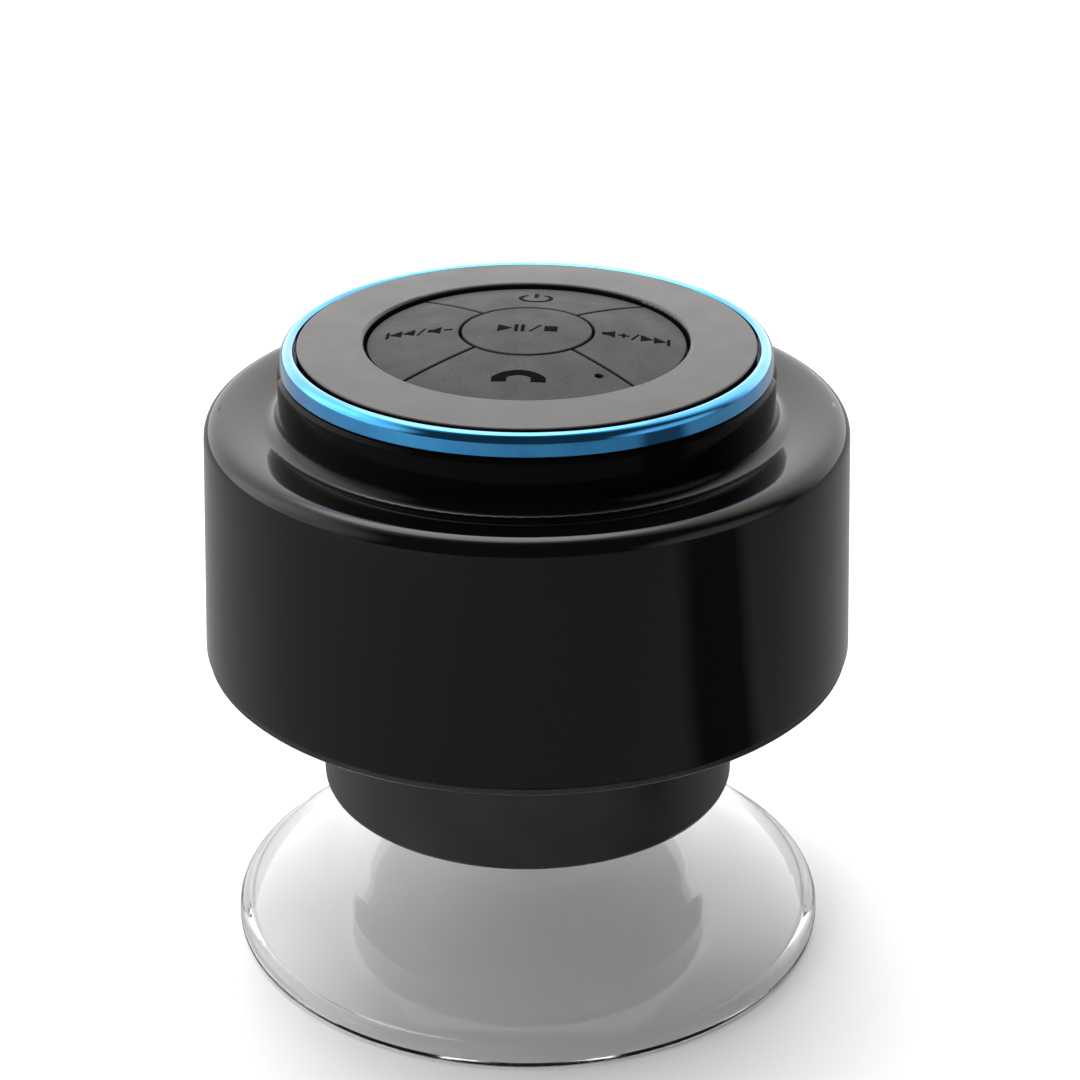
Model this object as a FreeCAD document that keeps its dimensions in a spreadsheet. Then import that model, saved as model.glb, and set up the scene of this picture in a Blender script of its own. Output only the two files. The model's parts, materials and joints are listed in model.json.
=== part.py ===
import FreeCAD, Part
import math
import os
import Sketcher

# Shower speaker with a screw-on suction cup, as a parametric document in millimetres.
#
# Frame: the origin is the centre of the suction cup's sealing lip, +Z runs up the speaker's axis to the
# keypad, and -Y is the side that the handset key faces. Stacked upwards from the origin are the clear
# suction cup, the narrow drum with the sound outlet in its floor, the wide glossy body, the neck, the
# blue trim ring and the satin fascia round a crowned rubber keypad.
#
# Every size below is a cell of the spreadsheet "dims". Sketch points, pad lengths and placements are
# bound to those cells, so changing a cell and recomputing changes the pieces.

DIMENSIONS = {
    # suction cup and its screw
    "cup_height": 23.0,
    "cup_lip_radius": 43.0,
    "cup_lip_width": 1.4,
    "cup_neck_radius": 11.0,
    "stud_radius": 4.0,
    "stud_length": 8.2,
    "stud_flange_radius": 8.0,
    "washer_radius": 9.5,
    "washer_thickness": 0.8,
    # drum and lower shell
    "drum_radius": 29.8,
    "drum_draft": 0.5,
    "drum_height": 21.4,
    "drum_bore": 27.8,
    "floor_thickness": 2.2,
    "ledge_bore": 22.9,
    "ledge_height": 7.6,
    "hub_radius": 8.0,
    "hub_height": 9.5,
    "slot_width": 1.8,
    "slot_start": 11.5,
    "slot_end": 21.5,
    "edge_height": 1.1,
    "parting_gap": 0.12,
    "spigot_clearance": 0.15,
    # upper shell
    "body_radius": 46.0,
    "body_draft": 1.4,
    "body_height": 35.5,
    "wall": 2.1,
    "shoulder_round": 2.4,
    "shoulder_flat": 3.2,
    "shoulder_crown": 30.0,
    "shoulder_fall": 1.5,
    "neck_round": 1.8,
    "neck_radius": 34.4,
    "neck_height": 6.7,
    "pod_depth": 7.4,
    "pod_bore": 30.8,
    "deck_thickness": 1.6,
    # screw columns that join the shells
    "column_circle": 38.4,
    "column_radius": 3.1,
    "column_foot": 11.6,
    # screws
    "pilot_gap": 0.02,
    "screw_gap": 0.15,
    "housing_screw_radius": 1.25,
    "housing_screw_length": 16.0,
    "housing_head_radius": 2.5,
    "housing_head_height": 2.0,
    "housing_head_depth": 3.2,
    "small_screw_radius": 0.85,
    "small_head_radius": 1.65,
    "small_head_height": 1.15,
    "main_screw_radius": 1.0,
    "main_head_radius": 1.9,
    "main_head_height": 1.4,
    "speaker_screw_radius": 0.95,
    "speaker_head_radius": 1.7,
    "speaker_head_height": 1.3,
    # trim ring and fascia
    "ring_height": 3.2,
    "ring_radius": 33.8,
    "ring_flare": 0.15,
    "ring_bore": 32.0,
    "rim_radius": 32.2,
    "rim_height": 1.2,
    "fascia_radius": 31.55,
    "fascia_crown": 0.25,
    "fascia_post_circle": 28.4,
    "fascia_post_radius": 1.7,
    # keypad
    "keypad_radius": 21.9,
    "play_key_radius": 8.9,
    "key_gap": 0.45,
    "key_crown": 1.7,
    "key_dome_radius": 110.0,
    "key_travel": 0.4,
    "key_circle": 15.6,
    "key_stem_radius": 1.7,
    "key_edge_round": 0.18,
    "microphone_side": 10.5,
    "microphone_front": 13.7,
    # control board stack, from the deck up
    "post_height": 1.2,
    "board_thickness": 1.2,
    "control_board_radius": 25.8,
    "control_screw_circle": 21.4,
    "switch_width": 5.2,
    "switch_height": 1.6,
    "plunger_radius": 1.25,
    "plunger_height": 0.4,
    "web_thickness": 0.6,
    # main board and battery
    "battery_bay": 16.8,
    "main_board_radius": 34.6,
    "main_board_thickness": 1.6,
    "main_post_circle": 30.0,
    "main_post_radius": 2.4,
    "battery_length": 44.0,
    "battery_width": 32.0,
    "battery_thickness": 8.4,
    "tape_thickness": 1.0,
    # charging port
    "port_width": 15.6,
    "port_top": 4.4,
    "port_foot": 8.9,
    "port_floor": 43.4,
    "port_corner": 1.2,
    "port_hinge_drop": 5.1,
    "port_hinge_place": 44.5,
    "port_bead_radius": 0.75,
    "port_bead_length": 6.4,
    # loudspeaker
    "gasket_thickness": 1.0,
    "speaker_radius": 27.4,
    "speaker_screw_circle": 25.3,
    "cone_radius": 18.8,
    "former_bore": 6.45,
    "former_radius": 6.6,
    "winding_radius": 7.3,
    "pole_radius": 6.2,
    "gap_radius": 7.7,
    "plate_radius": 15.5,
    "magnet_radius": 17.5,
    "magnet_bore": 9.5,
    "magnet_height": 8.0,
    "plate_thickness": 3.0,
}


class Size:
    """A number together with the spreadsheet expression that gives it."""

    def __init__(self, value, text):
        self.value = value
        self.text = text

    def __add__(self, other):
        other = size(other)
        return Size(self.value + other.value, f"({self.text} + {other.text})")

    def __sub__(self, other):
        other = size(other)
        return Size(self.value - other.value, f"({self.text} - {other.text})")

    def __mul__(self, other):
        other = size(other)
        return Size(self.value * other.value, f"({self.text} * {other.text})")

    def __truediv__(self, other):
        other = size(other)
        return Size(self.value / other.value, f"({self.text} / {other.text})")

    def __neg__(self):
        return size(0) - self

    def root(self):
        return Size(math.sqrt(self.value), f"sqrt({self.text})")


def size(number):
    """A plain number as a Size; a Size stays as it is."""
    if isinstance(number, Size):
        return number
    return Size(float(number), f"({float(number):.9g})")


class Dimensions:
    """The spreadsheet of driving dimensions; each alias is also a Size attribute of this object."""

    def __init__(self, document, values):
        sheet = document.addObject("Spreadsheet::Sheet", "dims")
        for row, (name, value) in enumerate(values.items(), 1):
            sheet.set(f"A{row}", name)
            sheet.set(f"B{row}", str(value))
            sheet.setAlias(f"B{row}", name)
            setattr(self, name, Size(value, f"dims.{name}"))
        document.recompute()


doc = FreeCAD.newDocument("shower_speaker")
D = Dimensions(doc, DIMENSIONS)
pieces = {}

# Levels along the axis, each worked out from the driving dimensions.
Z_DRUM = D.cup_height
Z_FLOOR = Z_DRUM + D.floor_thickness
Z_LEDGE = Z_DRUM + D.ledge_height
Z_BODY = Z_DRUM + D.drum_height
Z_PLATE = Z_BODY + D.wall
Z_EDGE = Z_BODY + D.edge_height
Z_SHELL = Z_EDGE + D.parting_gap
Z_COLUMN = Z_BODY + D.column_foot
Z_SHOULDER = Z_BODY + D.body_height
Z_RING = Z_SHOULDER + D.neck_height
Z_TOP = Z_RING + D.ring_height
Z_DECK = Z_TOP - D.pod_depth
Z_DECK_UNDER = Z_DECK - D.deck_thickness
Z_CONTROL = Z_DECK + D.post_height
Z_CONTROL_TOP = Z_CONTROL + D.board_thickness
Z_SWITCH_TOP = Z_CONTROL_TOP + D.switch_height
Z_PLUNGER_TOP = Z_SWITCH_TOP + D.plunger_height
Z_WEB = Z_SWITCH_TOP + 0.2
Z_WEB_TOP = Z_WEB + D.web_thickness
Z_CLAMP = Z_WEB_TOP + 0.4
Z_KEY = Z_WEB_TOP + D.key_travel + 0.1
Z_APEX = Z_TOP + D.key_crown
Z_MAIN_TOP = Z_DECK_UNDER - D.battery_bay
Z_MAIN = Z_MAIN_TOP - D.main_board_thickness
Z_PORT = Z_MAIN_TOP + 1.35
Z_HINGE = Z_PORT - D.port_hinge_drop
Z_SPEAKER = Z_LEDGE + D.gasket_thickness
Z_FRONT_PLATE = Z_SPEAKER + 11.9
Z_MAGNET = Z_FRONT_PLATE + D.plate_thickness
Z_YOKE = Z_MAGNET + D.magnet_height

COLUMN_ANGLES = [0, 60, 120, 180, 240, 300]
BOARD_POST_ANGLES = [70, 110, 250, 290]
DIAGONALS = [45, 135, 225, 315]
KEY_PLACES = [(0, 0), (0, 1), (-1, 0), (0, -1), (1, 0)]
SLOT_COUNT = 20
BASKET_WINDOWS = 4
OVERLAP = 0.3
NEAR = 0.02

# Inner components as (x0, x1, y0, y1) rectangles seen from above, and their heights.
RIBBON_PLUG = (-4.2, 4.2, 19.4, 22.6)
PLUG_HEIGHT = 2.6
RIBBON = (-3.0, 3.0, 20.85, 21.15)
BOARD_TONGUE = (-8.0, 8.0, 30.0, 41.0)
RADIO_MODULE = (-24.0, -8.0, -9.0, 3.0)
RADIO_HEIGHT = 2.2
CHIPS = [(6.0, 13.0, -8.0, -1.0), (-4.0, 1.0, -20.0, -15.0)]
CHIP_HEIGHT = 1.1
COILS = [(16.0, 21.0, -8.0, -3.0), (16.0, 21.0, -1.5, 3.5)]
COIL_HEIGHT = 3.0
CAN_CENTRES = [(8.0, 8.0), (15.0, 9.0), (-16.0, 9.0)]
CAN_RADIUS, CAN_HEIGHT = 2.5, 5.4
RIBBON_SOCKET_HEIGHT = 2.2
WIRE_SOCKETS = [(-30.5, -26.0, -3.0, 3.0), (26.0, 30.5, -3.0, 3.0)]
WIRE_SOCKET_HEIGHT = 4.6
PORT_SOCKET = (-3.8, 3.8, 36.2, 41.8)
PORT_SOCKET_HEIGHT = 2.7
PORT_TONGUE = (-2.4, 2.4, 36.6, 41.0)
PORT_OPENING = {"half_width": 4.3, "half_height": 1.9, "corner": 0.8}
PORT_PLUG = {"half_width": 3.9, "below": 1.3, "above": 1.2, "corner": 0.7, "depth": 1.5}
PORT_ANCHOR_DROP = 7.4
PORT_ANCHOR_HOLE = 1.05
PORT_ANCHOR_RADIUS = 1.0
TERMINAL_STRIP = (-5.0, 5.0, -26.6, -23.4)
WIRE_RADIUS = 0.5
LEAD_RADIUS = 0.3


def around(circle, angles, turn=0):
    """Centres on a circle of the given radius, one for each angle in degrees."""
    return [
        (circle * math.cos(math.radians(a + turn)), circle * math.sin(math.radians(a + turn)))
        for a in angles
    ]


def cap_radius(width, rise):
    """The radius of the sphere whose cap has this half width and this rise."""
    width, rise = size(width), size(rise)
    return (width * width + rise * rise) / (rise * 2)


def key_centres():
    """The centres of the five keys, the play key first."""
    return [(D.key_circle * x, D.key_circle * y) for x, y in KEY_PLACES]


class Piece:
    """One sub-part as a PartDesign body, with short calls for the features that it is made of."""

    def __init__(self, label):
        self.body = doc.addObject("PartDesign::Body", label)
        self.body.Label = label
        self.body.AllowCompound = True
        self.count = 0
        pieces[label] = self.body

    def datum(self, role):
        return next(f for f in self.body.Origin.OriginFeatures if f.Role == role)

    def add(self, kind, name):
        self.count += 1
        return self.body.newObject(kind, f"{self.body.Label}_{name}_{self.count}")

    def sketch(self, plane, offset=0):
        """A sketch on an origin plane, moved along the plane's normal by offset."""
        made = self.add("Sketcher::SketchObject", "sketch")
        made.AttachmentSupport = [(self.datum(plane), "")]
        made.MapMode = "FlatFace"
        made.setExpression("AttachmentOffset.Base.z", size(offset).text)
        return made

    def finish(self, feature):
        """Makes the feature the body's tip and checks that it worked."""
        self.body.Tip = feature
        doc.recompute()
        if "Invalid" in feature.State or "Error" in feature.State or feature.Shape.isNull():
            raise RuntimeError(f"{feature.Name} failed: {feature.State}")
        return feature

    def revolve(self, outline, cut=False):
        """Turns a closed outline of (radius, height) points about the Z axis."""
        before = self.body.Shape.Volume if cut else 0
        made = self.sketch("XZ_Plane")
        draw_outline(made, outline)
        feature = self.add("PartDesign::Groove" if cut else "PartDesign::Revolution", "turn")
        feature.Profile = made
        feature.ReferenceAxis = (self.datum("Z_Axis"), [""])
        feature.Angle = 360
        self.finish(feature)
        if cut and self.body.Shape.Volume >= before:
            raise RuntimeError(f"{feature.Name} cuts nothing")
        return feature

    def pad(self, made, length):
        feature = self.add("PartDesign::Pad", "pad")
        feature.Profile = made
        feature.setExpression("Length", size(length).text)
        return self.finish(feature)

    def pocket(self, made, depth, along=False):
        """Cuts against the sketch plane's normal, or along it."""
        before = self.body.Shape.Volume
        feature = self.add("PartDesign::Pocket", "pocket")
        feature.Profile = made
        feature.Reversed = along
        feature.setExpression("Length", size(depth).text)
        self.finish(feature)
        if self.body.Shape.Volume >= before:
            raise RuntimeError(f"{feature.Name} cuts nothing")
        return feature

    def cylinders(self, centres, radius, low, high):
        """Upright round pads from one height to another."""
        made = self.sketch("XY_Plane", low)
        for x, y in centres:
            draw_circle(made, x, y, radius)
        return self.pad(made, size(high) - low)

    def holes(self, centres, radius, low, high):
        """Upright round holes from one height to another."""
        made = self.sketch("XY_Plane", high)
        for x, y in centres:
            draw_circle(made, x, y, radius)
        return self.pocket(made, size(high) - low)

    def block(self, x0, x1, y0, y1, low, high):
        """A rectangular pad between two heights."""
        made = self.sketch("XY_Plane", low)
        draw_outline(made, [(x0, y0), (x1, y0), (x1, y1), (x0, y1)])
        return self.pad(made, size(high) - low)

    def slot(self, x0, x1, y0, y1, low, high):
        """A rectangular hole between two heights."""
        made = self.sketch("XY_Plane", high)
        draw_outline(made, [(x0, y0), (x1, y0), (x1, y1), (x0, y1)])
        return self.pocket(made, size(high) - low)

    def polar(self, feature, count):
        """Repeats a feature evenly round the Z axis."""
        pattern = self.add("PartDesign::PolarPattern", "pattern")
        pattern.Originals = [feature]
        pattern.Axis = (self.datum("Z_Axis"), [""])
        pattern.Angle = 360
        pattern.Occurrences = count
        return self.finish(pattern)

    def round_edges(self, radius, wanted):
        """Fillets the edges that a test picks out."""
        tip = self.body.Tip
        names = [f"Edge{i}" for i, edge in enumerate(tip.Shape.Edges, 1) if wanted(edge)]
        if not names:
            raise RuntimeError(f"{self.body.Label}: no edge to round")
        feature = self.add("PartDesign::Fillet", "fillet")
        feature.Base = (tip, names)
        feature.setExpression("Radius", size(radius).text)
        return self.finish(feature)

    def round_rims(self, radius, *rims):
        """Fillets the circles round the axis that have these (radius, height) places."""
        places = [(size(r).value, size(z).value) for r, z in rims]
        self.round_edges(radius, lambda edge: any(is_rim(edge, r, z) for r, z in places))


def is_circle(edge, radius, height):
    """Whether an edge is part of a circle with this radius and height."""
    if edge.Degenerated or not isinstance(edge.Curve, Part.Circle):
        return False
    return abs(edge.Curve.Radius - radius) + abs(edge.Curve.Center.z - height) < NEAR


def is_rim(edge, radius, height):
    """Whether an edge is a circle round the Z axis with this radius and height."""
    return is_circle(edge, radius, height) and math.hypot(*edge.Curve.Center[:2]) < NEAR


def pin_point(sketch, geometry, point, x, y):
    """Fixes one point of a sketch at (x, y), bound to the sheet."""
    for axis, place, kind in ((-2, size(x), "DistanceX"), (-1, size(y), "DistanceY")):
        if abs(place.value) < 1e-9:
            sketch.addConstraint(Sketcher.Constraint("PointOnObject", geometry, point, axis))
            continue
        number = sketch.addConstraint(
            Sketcher.Constraint(kind, -1, 1, geometry, point, place.value)
        )
        sketch.setExpression(f"Constraints[{number}]", place.text)


def draw_circle(sketch, x, y, radius):
    """A circle whose centre and radius are bound to the sheet."""
    x, y, radius = size(x), size(y), size(radius)
    circle = Part.Circle(FreeCAD.Vector(x.value, y.value, 0), FreeCAD.Vector(0, 0, 1), radius.value)
    geometry = sketch.addGeometry(circle, False)
    pin_point(sketch, geometry, 3, x, y)
    number = sketch.addConstraint(Sketcher.Constraint("Radius", geometry, radius.value))
    sketch.setExpression(f"Constraints[{number}]", radius.text)


def draw_outline(sketch, outline):
    """A closed outline. A point is (x, y), reached by a line, or (x, y, radius), reached by an arc whose
    centre is on the left of the way there, or on the right when the radius is negative."""
    corners = [tuple(size(v) for v in point) for point in outline]
    edges = []
    for i, corner in enumerate(corners):
        edges.append(draw_edge(sketch, corners[i - 1], corner))
    for i, (geometry, start, end) in enumerate(edges):
        following, next_start, _ = edges[(i + 1) % len(edges)]
        sketch.addConstraint(Sketcher.Constraint("Coincident", geometry, end, following, next_start))
    for corner, (geometry, start, end) in zip(corners, edges):
        pin_point(sketch, geometry, end, corner[0], corner[1])


def draw_edge(sketch, start, end):
    """One edge of an outline; returns its number and the numbers of its first and last points."""
    first = FreeCAD.Vector(start[0].value, start[1].value, 0)
    last = FreeCAD.Vector(end[0].value, end[1].value, 0)
    if len(end) == 2:
        return sketch.addGeometry(Part.LineSegment(first, last), False), 1, 2
    radius = end[2]
    span = last - first
    left = FreeCAD.Vector(-span.y, span.x, 0).normalize()
    reach = math.sqrt(radius.value**2 - (span.Length / 2) ** 2)
    side = 1 if radius.value > 0 else -1
    centre = first + span / 2 + left * (reach * side)
    if side < 0:
        first, last = last, first
    angles = [math.atan2(p.y - centre.y, p.x - centre.x) for p in (first, last)]
    circle = Part.Circle(centre, FreeCAD.Vector(0, 0, 1), abs(radius.value))
    geometry = sketch.addGeometry(Part.ArcOfCircle(circle, *angles), False)
    number = sketch.addConstraint(Sketcher.Constraint("Radius", geometry, abs(radius.value)))
    sketch.setExpression(f"Constraints[{number}]", f"abs({radius.text})")
    return (geometry, 1, 2) if side > 0 else (geometry, 2, 1)


def keep_shape(label, shape):
    """Keeps a shape that no feature fits, such as a cable along a curve."""
    feature = doc.addObject("Part::Feature", label)
    feature.Label = label
    feature.Shape = shape
    pieces[label] = feature


def cable(points, radius, leave, arrive):
    """A round cable along a smooth curve through the points, with its directions at both ends."""
    curve = Part.BSplineCurve()
    leave, arrive = FreeCAD.Vector(*leave), FreeCAD.Vector(*arrive)
    curve.interpolate(
        Points=[FreeCAD.Vector(*p) for p in points], InitialTangent=leave, FinalTangent=arrive
    )
    path = Part.Wire(curve.toShape())
    ring = Part.Wire(Part.makeCircle(radius, FreeCAD.Vector(*points[0]), leave))
    return path.makePipeShell([ring], True, False)


# ---------------------------------------------------------------- suction cup and its screw


def make_suction_cup():
    """Clear soft cup: a flat sealing lip, a thin dome and a neck that grips the stud's flange."""
    cup = Piece("suction_cup")
    neck_top = Z_DRUM - D.washer_thickness
    cup.revolve(
        [
            (0, 11.0),
            (9.0, 10.6, -cap_radius(9.0, 0.4)),
            (28.0, 7.4, -60.0),
            (D.cup_lip_radius - D.cup_lip_width, 0, -26.0),
            (D.cup_lip_radius, 0),
            (D.cup_lip_radius + 0.3, 1.0, 0.9),
            (D.cup_lip_radius - 1.2, 2.9, 1.6),
            (29.5, 10.6, 22.0),
            (15.5, 13.9, 60.0),
            (D.cup_neck_radius, 17.6, -4.2),
            (D.cup_neck_radius, neck_top - 1.6),
            (D.cup_neck_radius - 1.2, neck_top, 1.6),
            (4.6, neck_top),
            (4.6, 18.7),
            (D.stud_flange_radius + 0.05, 18.7),
            (D.stud_flange_radius + 0.05, 16.2),
            (0, 16.2),
        ]
    )


def make_cup_stud():
    """Screw moulded into the cup's neck; its thread takes the speaker's brass insert."""
    stud = Piece("cup_stud")
    end = Z_DRUM + D.stud_length
    stud.revolve(
        [
            (0, 16.25),
            (D.stud_flange_radius, 16.25),
            (D.stud_flange_radius, 18.65),
            (4.5, 18.65),
            (4.5, Z_DRUM - D.washer_thickness),
            (D.stud_radius, Z_DRUM - D.washer_thickness),
            (D.stud_radius, end - 0.8),
            (D.stud_radius - 0.8, end),
            (0, end),
        ]
    )


def make_cup_washer():
    """Soft washer between the cup's neck and the drum."""
    washer = Piece("cup_washer")
    low = Z_DRUM - D.washer_thickness
    bore = D.stud_radius + 0.15
    washer.revolve(
        [(bore, low), (D.washer_radius, low), (D.washer_radius, Z_DRUM), (bore, Z_DRUM)]
    )
    washer.round_rims(0.2, (D.washer_radius, low), (D.washer_radius, Z_DRUM))


def make_stud_insert():
    """Brass insert in the drum's hub, with two grooves that lock it in the plastic."""
    insert = Piece("stud_insert")
    low, high = Z_DRUM + 0.85, Z_DRUM + D.hub_height - 0.1
    bore, rim = D.stud_radius + 0.08, D.hub_radius - 2.0
    insert.revolve(
        [
            (bore, low),
            (rim, low),
            (rim, low + 2.0),
            (rim - 0.5, low + 2.3),
            (rim - 0.5, low + 2.9),
            (rim, low + 3.2),
            (rim, low + 5.0),
            (rim - 0.5, low + 5.3),
            (rim - 0.5, low + 5.9),
            (rim, low + 6.2),
            (rim, high),
            (bore, high),
        ]
    )


# ---------------------------------------------------------------- shells


def make_lower_shell():
    """Satin shell: slotted floor with the hub, drum wall with the speaker ledge, plate and spigot."""
    shell = Piece("lower_shell")
    spigot = D.body_radius - D.wall - D.spigot_clearance
    groove = spigot - 1.2
    hub_bore = D.hub_radius - 1.95
    shell.revolve(
        [
            (D.stud_radius + 0.3, Z_DRUM),
            (D.drum_radius, Z_DRUM),
            (D.drum_radius + D.drum_draft, Z_BODY),
            (D.body_radius - 0.7, Z_BODY),
            (D.body_radius - 0.3, Z_BODY + 0.4),
            (D.body_radius - 0.3, Z_EDGE),
            (spigot, Z_EDGE),
            (spigot, Z_EDGE + 1.9),
            (groove, Z_EDGE + 1.9),
            (groove, Z_EDGE + 3.9),
            (spigot, Z_EDGE + 3.9),
            (spigot, Z_EDGE + 5.5),
            (spigot - 2.35, Z_EDGE + 5.5),
            (spigot - 2.35, Z_PLATE),
            (D.drum_bore, Z_PLATE),
            (D.drum_bore, Z_LEDGE),
            (D.ledge_bore, Z_LEDGE),
            (D.ledge_bore, Z_FLOOR),
            (D.hub_radius, Z_FLOOR),
            (D.hub_radius, Z_DRUM + D.hub_height),
            (hub_bore, Z_DRUM + D.hub_height),
            (hub_bore, Z_DRUM + 0.8),
            (D.stud_radius + 0.3, Z_DRUM + 0.8),
        ]
    )
    shell.round_rims(1.0, (D.drum_radius, Z_DRUM))
    shell.round_rims(0.8, (D.drum_radius + D.drum_draft, Z_BODY))
    shell.round_rims(0.6, (D.hub_radius, Z_FLOOR))
    cut_outlet_slots(shell)
    columns = around(D.column_circle, COLUMN_ANGLES)
    shell.cylinders(columns, D.column_radius + 0.5, Z_BODY + 0.5, Z_COLUMN)
    shell.holes(columns, D.housing_screw_radius + D.screw_gap, Z_BODY, Z_COLUMN)
    shell.holes(columns, D.housing_head_radius + 0.3, Z_BODY, Z_BODY + D.housing_head_depth)
    pilot = D.speaker_screw_radius + D.pilot_gap
    shell.holes(around(D.speaker_screw_circle, DIAGONALS), pilot, Z_LEDGE - 4.6, Z_LEDGE)


def cut_outlet_slots(shell):
    """Round-ended radial slots in the floor, between the hub and the speaker ledge."""
    half = D.slot_width / 2
    made = shell.sketch("XY_Plane", Z_FLOOR)
    draw_outline(
        made,
        [
            (D.slot_start, half),
            (D.slot_start, -half, half * 1.02),
            (D.slot_end, -half),
            (D.slot_end, half, half * 1.02),
        ],
    )
    first = shell.pocket(made, D.floor_thickness)
    shell.polar(first, SLOT_COUNT)


def make_upper_shell():
    """Glossy shell: side wall, shoulder that falls a little towards the neck, ring seat, deck, screw
    columns and port."""
    shell = Piece("upper_shell")
    shoulder = D.body_radius - D.body_draft
    inside = D.body_radius - D.wall
    neck_inside = D.neck_radius - 2.2
    foot = Z_SHOULDER - D.shoulder_fall
    under = foot - D.wall
    shell.revolve(
        [
            (inside, Z_SHELL),
            (D.body_radius, Z_SHELL),
            (shoulder, Z_SHOULDER),
            (shoulder - D.shoulder_flat, Z_SHOULDER),
            (D.neck_radius, foot, D.shoulder_crown),
            (D.neck_radius - 0.1, Z_RING - 0.65),
            (D.neck_radius - 0.55, Z_RING - 0.1),
            (D.rim_radius, Z_RING - 0.1),
            (D.rim_radius, Z_RING + D.rim_height),
            (D.pod_bore, Z_RING + D.rim_height),
            (D.pod_bore, Z_DECK),
            (0, Z_DECK),
            (0, Z_DECK_UNDER),
            (neck_inside, Z_DECK_UNDER),
            (neck_inside, under),
            (shoulder - D.wall - 0.5, under),
            (shoulder - D.wall, under - 0.8),
            (inside, Z_SHELL + 8.0),
        ]
    )
    shell.round_rims(D.shoulder_round, (shoulder, Z_SHOULDER))
    shell.round_rims(D.neck_round, (D.neck_radius, foot))
    shell.round_rims(0.35, (D.body_radius, Z_SHELL))
    shell.cylinders(around(D.column_circle, COLUMN_ANGLES), D.column_radius, Z_COLUMN, under + OVERLAP)
    mains = around(D.main_post_circle, BOARD_POST_ANGLES)
    shell.cylinders(mains, D.main_post_radius, Z_MAIN_TOP, Z_DECK_UNDER + OVERLAP)
    controls = around(D.control_screw_circle, DIAGONALS)
    shell.cylinders(controls, 2.2, Z_DECK - OVERLAP, Z_CONTROL)
    pilot = D.housing_screw_radius + D.pilot_gap
    shell.holes(around(D.column_circle, COLUMN_ANGLES), pilot, Z_COLUMN, Z_COLUMN + 9.5)
    shell.holes(mains, D.main_screw_radius + D.pilot_gap, Z_MAIN_TOP, Z_MAIN_TOP + 6.0)
    shell.holes(controls, D.small_screw_radius + D.pilot_gap, Z_DECK_UNDER + 0.2, Z_CONTROL)
    posts = around(D.fascia_post_circle, DIAGONALS)
    shell.holes(posts, D.small_screw_radius + D.screw_gap, Z_DECK_UNDER, Z_DECK)
    shell.slot(-5.0, 5.0, 18.5, 23.5, Z_DECK_UNDER, Z_DECK)
    cut_charging_port(shell)


def port_outline(half_width, low, high, corner):
    """A rounded rectangle in the XZ plane."""
    w, c = size(half_width), size(corner)
    return [
        (w - c, low),
        (w, low + c, c),
        (w, high - c),
        (w - c, high, c),
        (-w + c, high),
        (-w, high - c, c),
        (-w, low + c),
        (-w + c, low, c),
    ]


def cut_charging_port(shell):
    """Thickens the wall inside, then cuts the flat-floored pocket and the opening to the socket."""
    half = D.port_width / 2
    low, high = Z_PORT - D.port_foot, Z_PORT + D.port_top
    frame = 1.8
    boss = shell.sketch("XZ_Plane", -(D.port_floor + 0.4))
    draw_outline(boss, port_outline(half + frame, low - frame, high + frame, 2.0))
    shell.pad(boss, 1.9)
    pocket = shell.sketch("XZ_Plane", -D.port_floor)
    draw_outline(pocket, port_outline(half, low, high, D.port_corner))
    shell.pocket(pocket, 6.0)
    behind = D.port_floor - 3.0
    wide, tall, corner = PORT_OPENING.values()
    opening = shell.sketch("XZ_Plane", -behind)
    draw_outline(opening, port_outline(wide, Z_PORT - tall, Z_PORT + tall, corner))
    shell.pocket(opening, 4.0)
    anchor = shell.sketch("XZ_Plane", -behind)
    draw_circle(anchor, 0, Z_PORT - PORT_ANCHOR_DROP, PORT_ANCHOR_HOLE)
    shell.pocket(anchor, 4.0)


def make_housing_seal():
    """O-ring in the spigot's groove."""
    seal = doc.addObject("Part::Torus", "housing_seal")
    seal.Label = "housing_seal"
    seal.setExpression("Radius1", (D.body_radius - D.wall - 0.69).text)
    seal.setExpression("Radius2", "0.64 mm")
    seal.setExpression("Placement.Base.z", (Z_EDGE + 2.9).text)
    pieces["housing_seal"] = seal


def add_screws(label, centres, head_radius, head, shank_radius, seat, tip, up=True):
    """Pan-head screws with a cross recess. The shank runs from the seat to the tip, and the head sits
    on the other side of the seat. Screws whose shanks point up have their heads below."""
    screws = Piece(label)
    seat, tip = size(seat), size(tip)
    if up:
        screws.cylinders(centres, head_radius, seat - head, seat)
        screws.cylinders(centres, shank_radius, seat - 0.1, tip)
        low, high = seat - head, seat - head * 0.4
    else:
        screws.cylinders(centres, head_radius, seat, seat + head)
        screws.cylinders(centres, shank_radius, tip, seat + 0.1)
        low, high = seat + head * 0.4, seat + head
    arm, half = size(head_radius) * 0.6, size(head_radius) * 0.13
    made = screws.sketch("XY_Plane", high)
    for x, y in centres:
        x, y = size(x), size(y)
        draw_outline(
            made,
            [
                (x + half, y - arm), (x + half, y - half), (x + arm, y - half), (x + arm, y + half),
                (x + half, y + half), (x + half, y + arm), (x - half, y + arm), (x - half, y + half),
                (x - arm, y + half), (x - arm, y - half), (x - half, y - half), (x - half, y - arm),
            ],
        )
    screws.pocket(made, high - low)
    outer = (seat - head).value if up else (seat + head).value
    radius = size(head_radius).value
    screws.round_edges(size(head) * 0.35, lambda edge: is_circle(edge, radius, outer))


# ---------------------------------------------------------------- trim ring, fascia and keypad


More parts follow.
